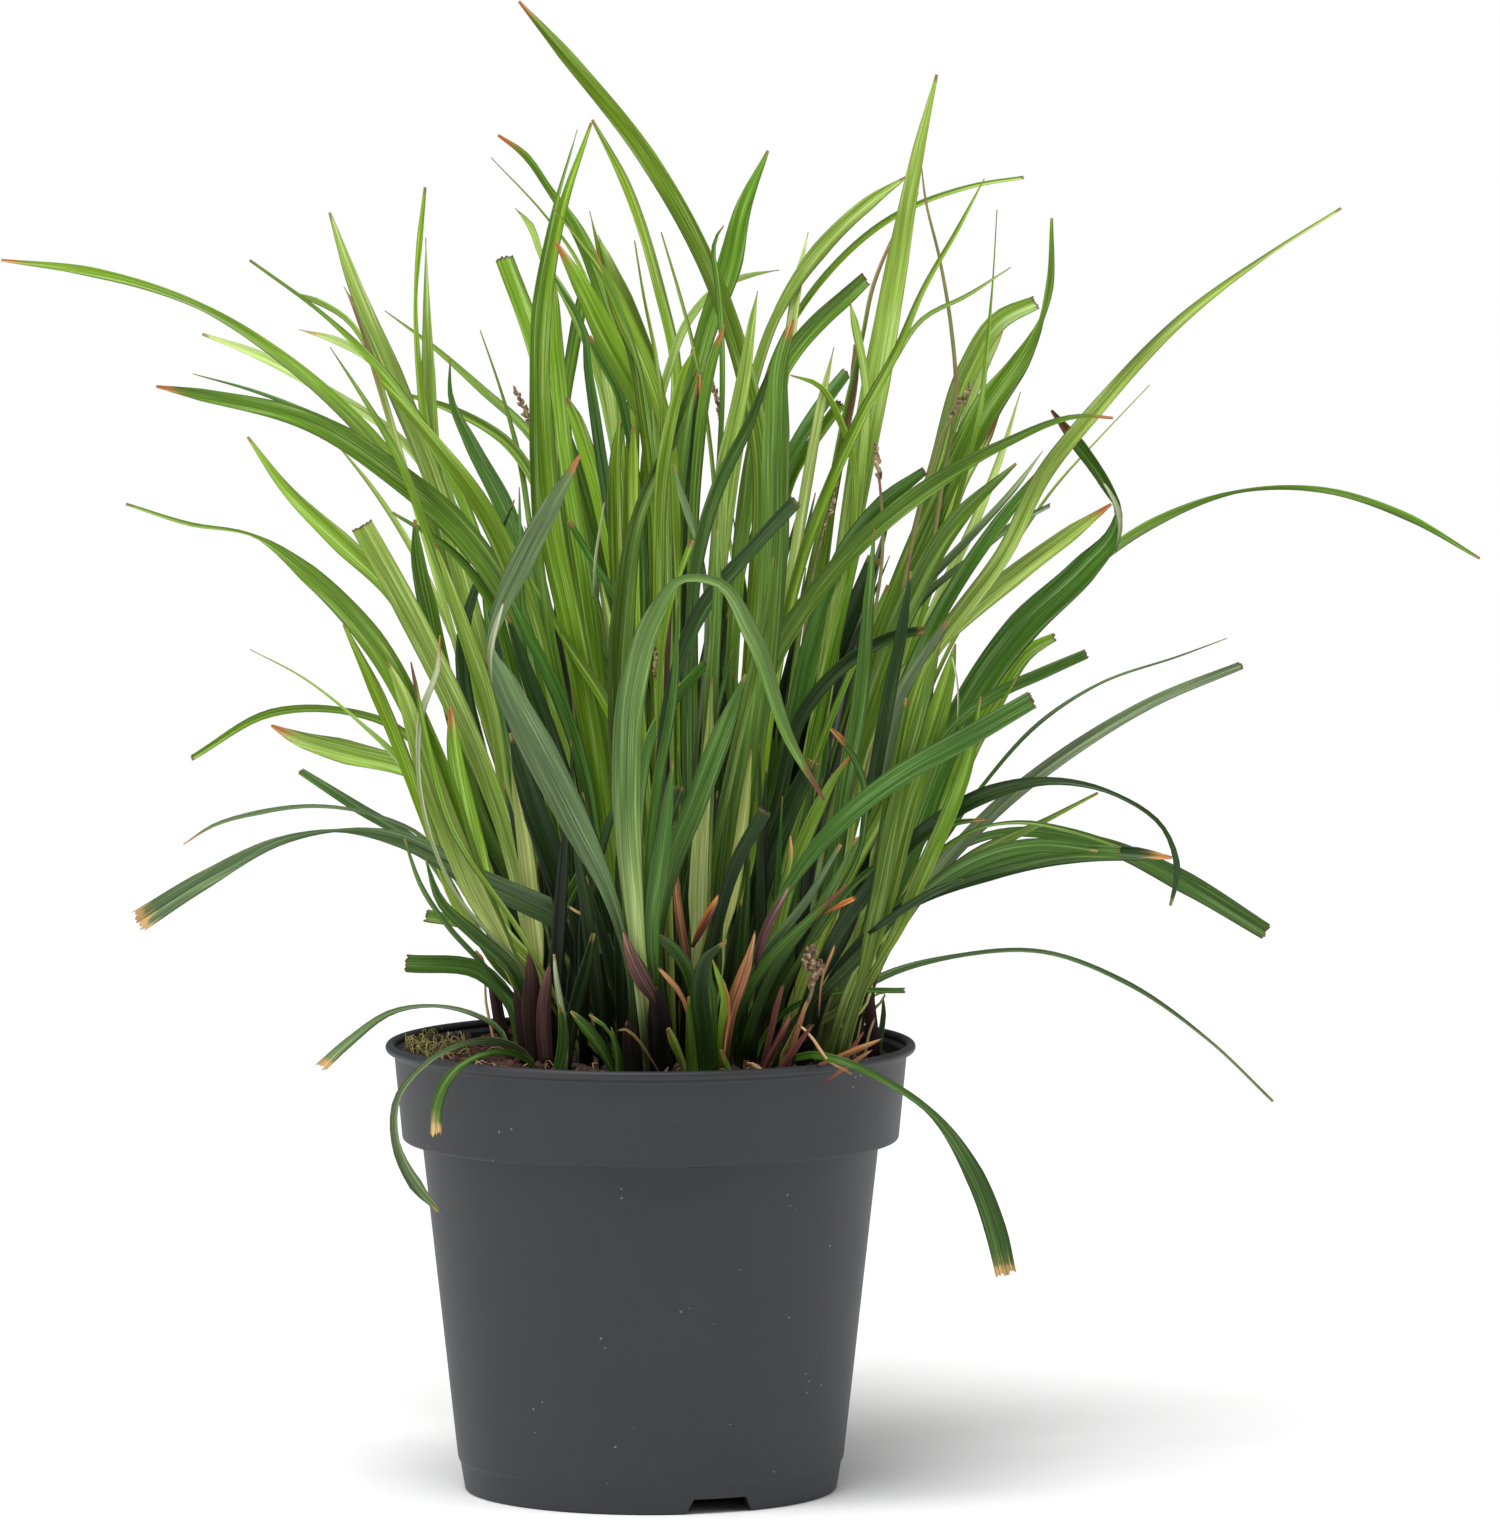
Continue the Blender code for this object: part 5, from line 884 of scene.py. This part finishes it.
# Order, then x, z and width of each stem from the top; the spike is on the first stretch.
STEMS = (
    (9.8, (96.5, 475, .5), (98, 463, .9), (103, 442, 1.2), (107.5, 415, 1.5), (109, 395, 1.6),
     (104, 360, 1.8), (86, 250, 1.8), (58, 157, 1.8)),
    (9.3, (114, 396, .8), (109.5, 388, 1.2), (105, 381, 1.4), (100, 366, 1.6), (84, 290, 1.6),
     (56, 157, 1.8)),
    (16.7, (-48, 395, .6), (-44, 386, 1), (-41, 378, 1.2), (-34, 330, 1.5), (-14, 159, 1.6)),
    (14.6, (22.5, 396, .6), (24.5, 388, 1), (25.5, 381, 1.2), (27, 330, 1.5), (22, 159, 1.6)),
    (-2.8, (80.5, 374, .6), (81.3, 367, .8), (82, 360, 1), (83, 345, 1.2), (70, 270, 1.4), (50, 156, 1.6)),
    (5.6, (66.5, 361, .6), (63, 350, 1), (60, 339, 1.2), (54, 300, 1.4), (40, 157, 1.6)),
    (-15.5, (57.4, 194, .7), (59, 187, 1.4), (57.6, 179, 1.3), (52, 166, 1.4), (46, 154, 1.6)),
    (-9.1, (1.5, 303, .7), (2.5, 291, 1.2), (3.2, 279, 1.4), (4, 240, 1.6), (8, 154, 1.8)),
)
gen = np.random.default_rng(12)
stalks, scales = [], []
for order, *rows in STEMS:
    run, along = smooth_run(np.array(rows, float), 2.5)
    y = depth(order, run[:, 0], run[:, 1])
    path = moved_to(run[:, 0], run[:, 1], y)
    path[-1, 2] = peat_height(path[-1, 0], path[-1, 1]) - 1
    stalks.append(tube(path, run[:, 2] / 2))
    if order == 9.8:
        continue
    spike = np.hypot(rows[2][0] - rows[0][0], rows[2][1] - rows[0][1])
    for s in np.linspace(0.02, 1, 26):
        at = np.array([np.interp(s * spike, along, path[:, c]) for c in range(3)])
        ahead = path[0] - path[4]
        ahead /= np.linalg.norm(ahead)
        out = gen.normal(0, 1, 3)
        out -= ahead * out.dot(ahead)
        out /= np.linalg.norm(out)
        swell = np.sin(np.pi * np.clip(s * 0.85 + 0.12, 0, 1))
        bulk = 2.2 if order == -15.5 else 1.0
        tip = at + ahead * gen.uniform(1.6, 2.8) + out * gen.uniform(0.7, 2.3) * swell * bulk
        t = np.linspace(0, 1, 6)[:, None]
        body = at + (tip - at) * t
        scales.append(tube(body, 0.62 * np.sin(np.pi * (0.12 + 0.83 * t[:, 0])) * (0.6 + swell * 0.6) * bulk, 6))
points, faces = joined(stalks)
stems = grid_mesh("flower_stems", points, faces, stem_look(
    "flower_stem", [(0.35, "#6B7A35"), (0.55, "#8A8248"), (0.7, "#8C5F46")], 60.0, 0.5))
points, faces = joined(scales)
spikes = grid_mesh("dried_spikelets", points, faces, stem_look(
    "dried_scale", [(0.3, "#3B2A22"), (0.5, "#80634A"), (0.68, "#C4AC86")], 700.0, 0.7))
for piece in (stems, spikes):
    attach(piece, "root")

# Litter on the peat.
# Crumbs of peat, pale and brown fibres, thin whitish roots and tufts of moss at the left edge.
def crumbs(count, seed, low, high):
    """Rough pebbles: an eight-sided ball whose points are pushed in and out at random."""
    gen = np.random.default_rng(seed)
    ball = np.array([(0, 0, 1), (1, 0, 0.2), (0.3, 1, 0.3), (-0.8, 0.6, 0.1), (-0.8, -0.6, 0.2),
                     (0.3, -1, 0.1), (0.5, 0.3, -0.8), (-0.4, 0, -0.9), (0.1, -0.6, -0.8)])
    faces = [(0, 1, 2), (0, 2, 3), (0, 3, 4), (0, 4, 5), (0, 5, 1), (1, 6, 2), (2, 6, 7), (2, 7, 3),
             (3, 7, 4), (4, 7, 8), (4, 8, 5), (5, 8, 1), (1, 8, 6), (6, 8, 7)]
    out = []
    for _ in range(count):
        r, t = SOIL_R * 0.97 * np.sqrt(gen.uniform()), gen.uniform(0, 2 * np.pi)
        x, y = r * np.cos(t), r * np.sin(t)
        size = gen.uniform(low, high) * gen.uniform(0.7, 1.3, 3)
        centre = np.array((x, y, peat_height(np.float64(x), np.float64(y)) + size[2] * 0.25))
        out.append((centre + ball * size * gen.uniform(0.75, 1.2, (9, 1)), faces))
    return out


def fibres(count, seed, length, radius, centre=None, reach=0.0, lift=2.0):
    """Curled threads on the peat: short random walks of turning heading, as thin tubes."""
    gen = np.random.default_rng(seed)
    out = []
    for _ in range(count):
        if centre is None:
            r, t = SOIL_R * 0.95 * np.sqrt(gen.uniform()), gen.uniform(0, 2 * np.pi)
            x, y = r * np.cos(t), r * np.sin(t)
        else:
            x, y = np.array(centre) + gen.normal(0, reach, 2)
        n = 9
        turn = gen.uniform(0, 2 * np.pi) + np.cumsum(gen.normal(0, 0.45, n))
        step = gen.uniform(0.5, 1.2) * length / n
        px, py = x + np.cumsum(np.cos(turn) * step), y + np.cumsum(np.sin(turn) * step)
        far = np.maximum(np.hypot(px, py) / (SOIL_R - 1.5), 1)
        px, py = px / far, py / far
        rise = np.sin(np.linspace(0.1, 3.0, n)) * gen.uniform(0.1, 1) * lift
        pz = peat_height(px, py) + 0.25 + rise
        out.append(tube(np.stack([px, py, pz], 1), radius * np.linspace(1, 0.5, n), 5))
    return out


points, faces = joined(crumbs(900, 3, 0.5, 1.6) + crumbs(160, 4, 1.5, 2.8))
crumb_piece = grid_mesh("peat_crumbs", points, faces, peat_look)
points, faces = joined(fibres(260, 6, 9, 0.22) + fibres(60, 8, 16, 0.3, lift=3.5))
fibre_piece = grid_mesh("peat_fibres", points, faces, stem_look(
    "dry_fibre", [(0.3, "#4A2F22"), (0.5, "#8A6446"), (0.7, "#C6A982")], 90.0, 0.8))
points, faces = joined(fibres(90, 9, 9, 0.3, (-80, -18), 6.5, 5.5) + fibres(40, 10, 7, 0.3, (-84, 8), 6, 4))
moss_piece = grid_mesh("moss", points, faces, stem_look(
    "moss", [(0.3, "#4C4A26"), (0.5, "#7A7440"), (0.7, "#A99A68")], 200.0, 0.9))
for piece in (crumb_piece, fibre_piece, moss_piece):
    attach(piece, "root")
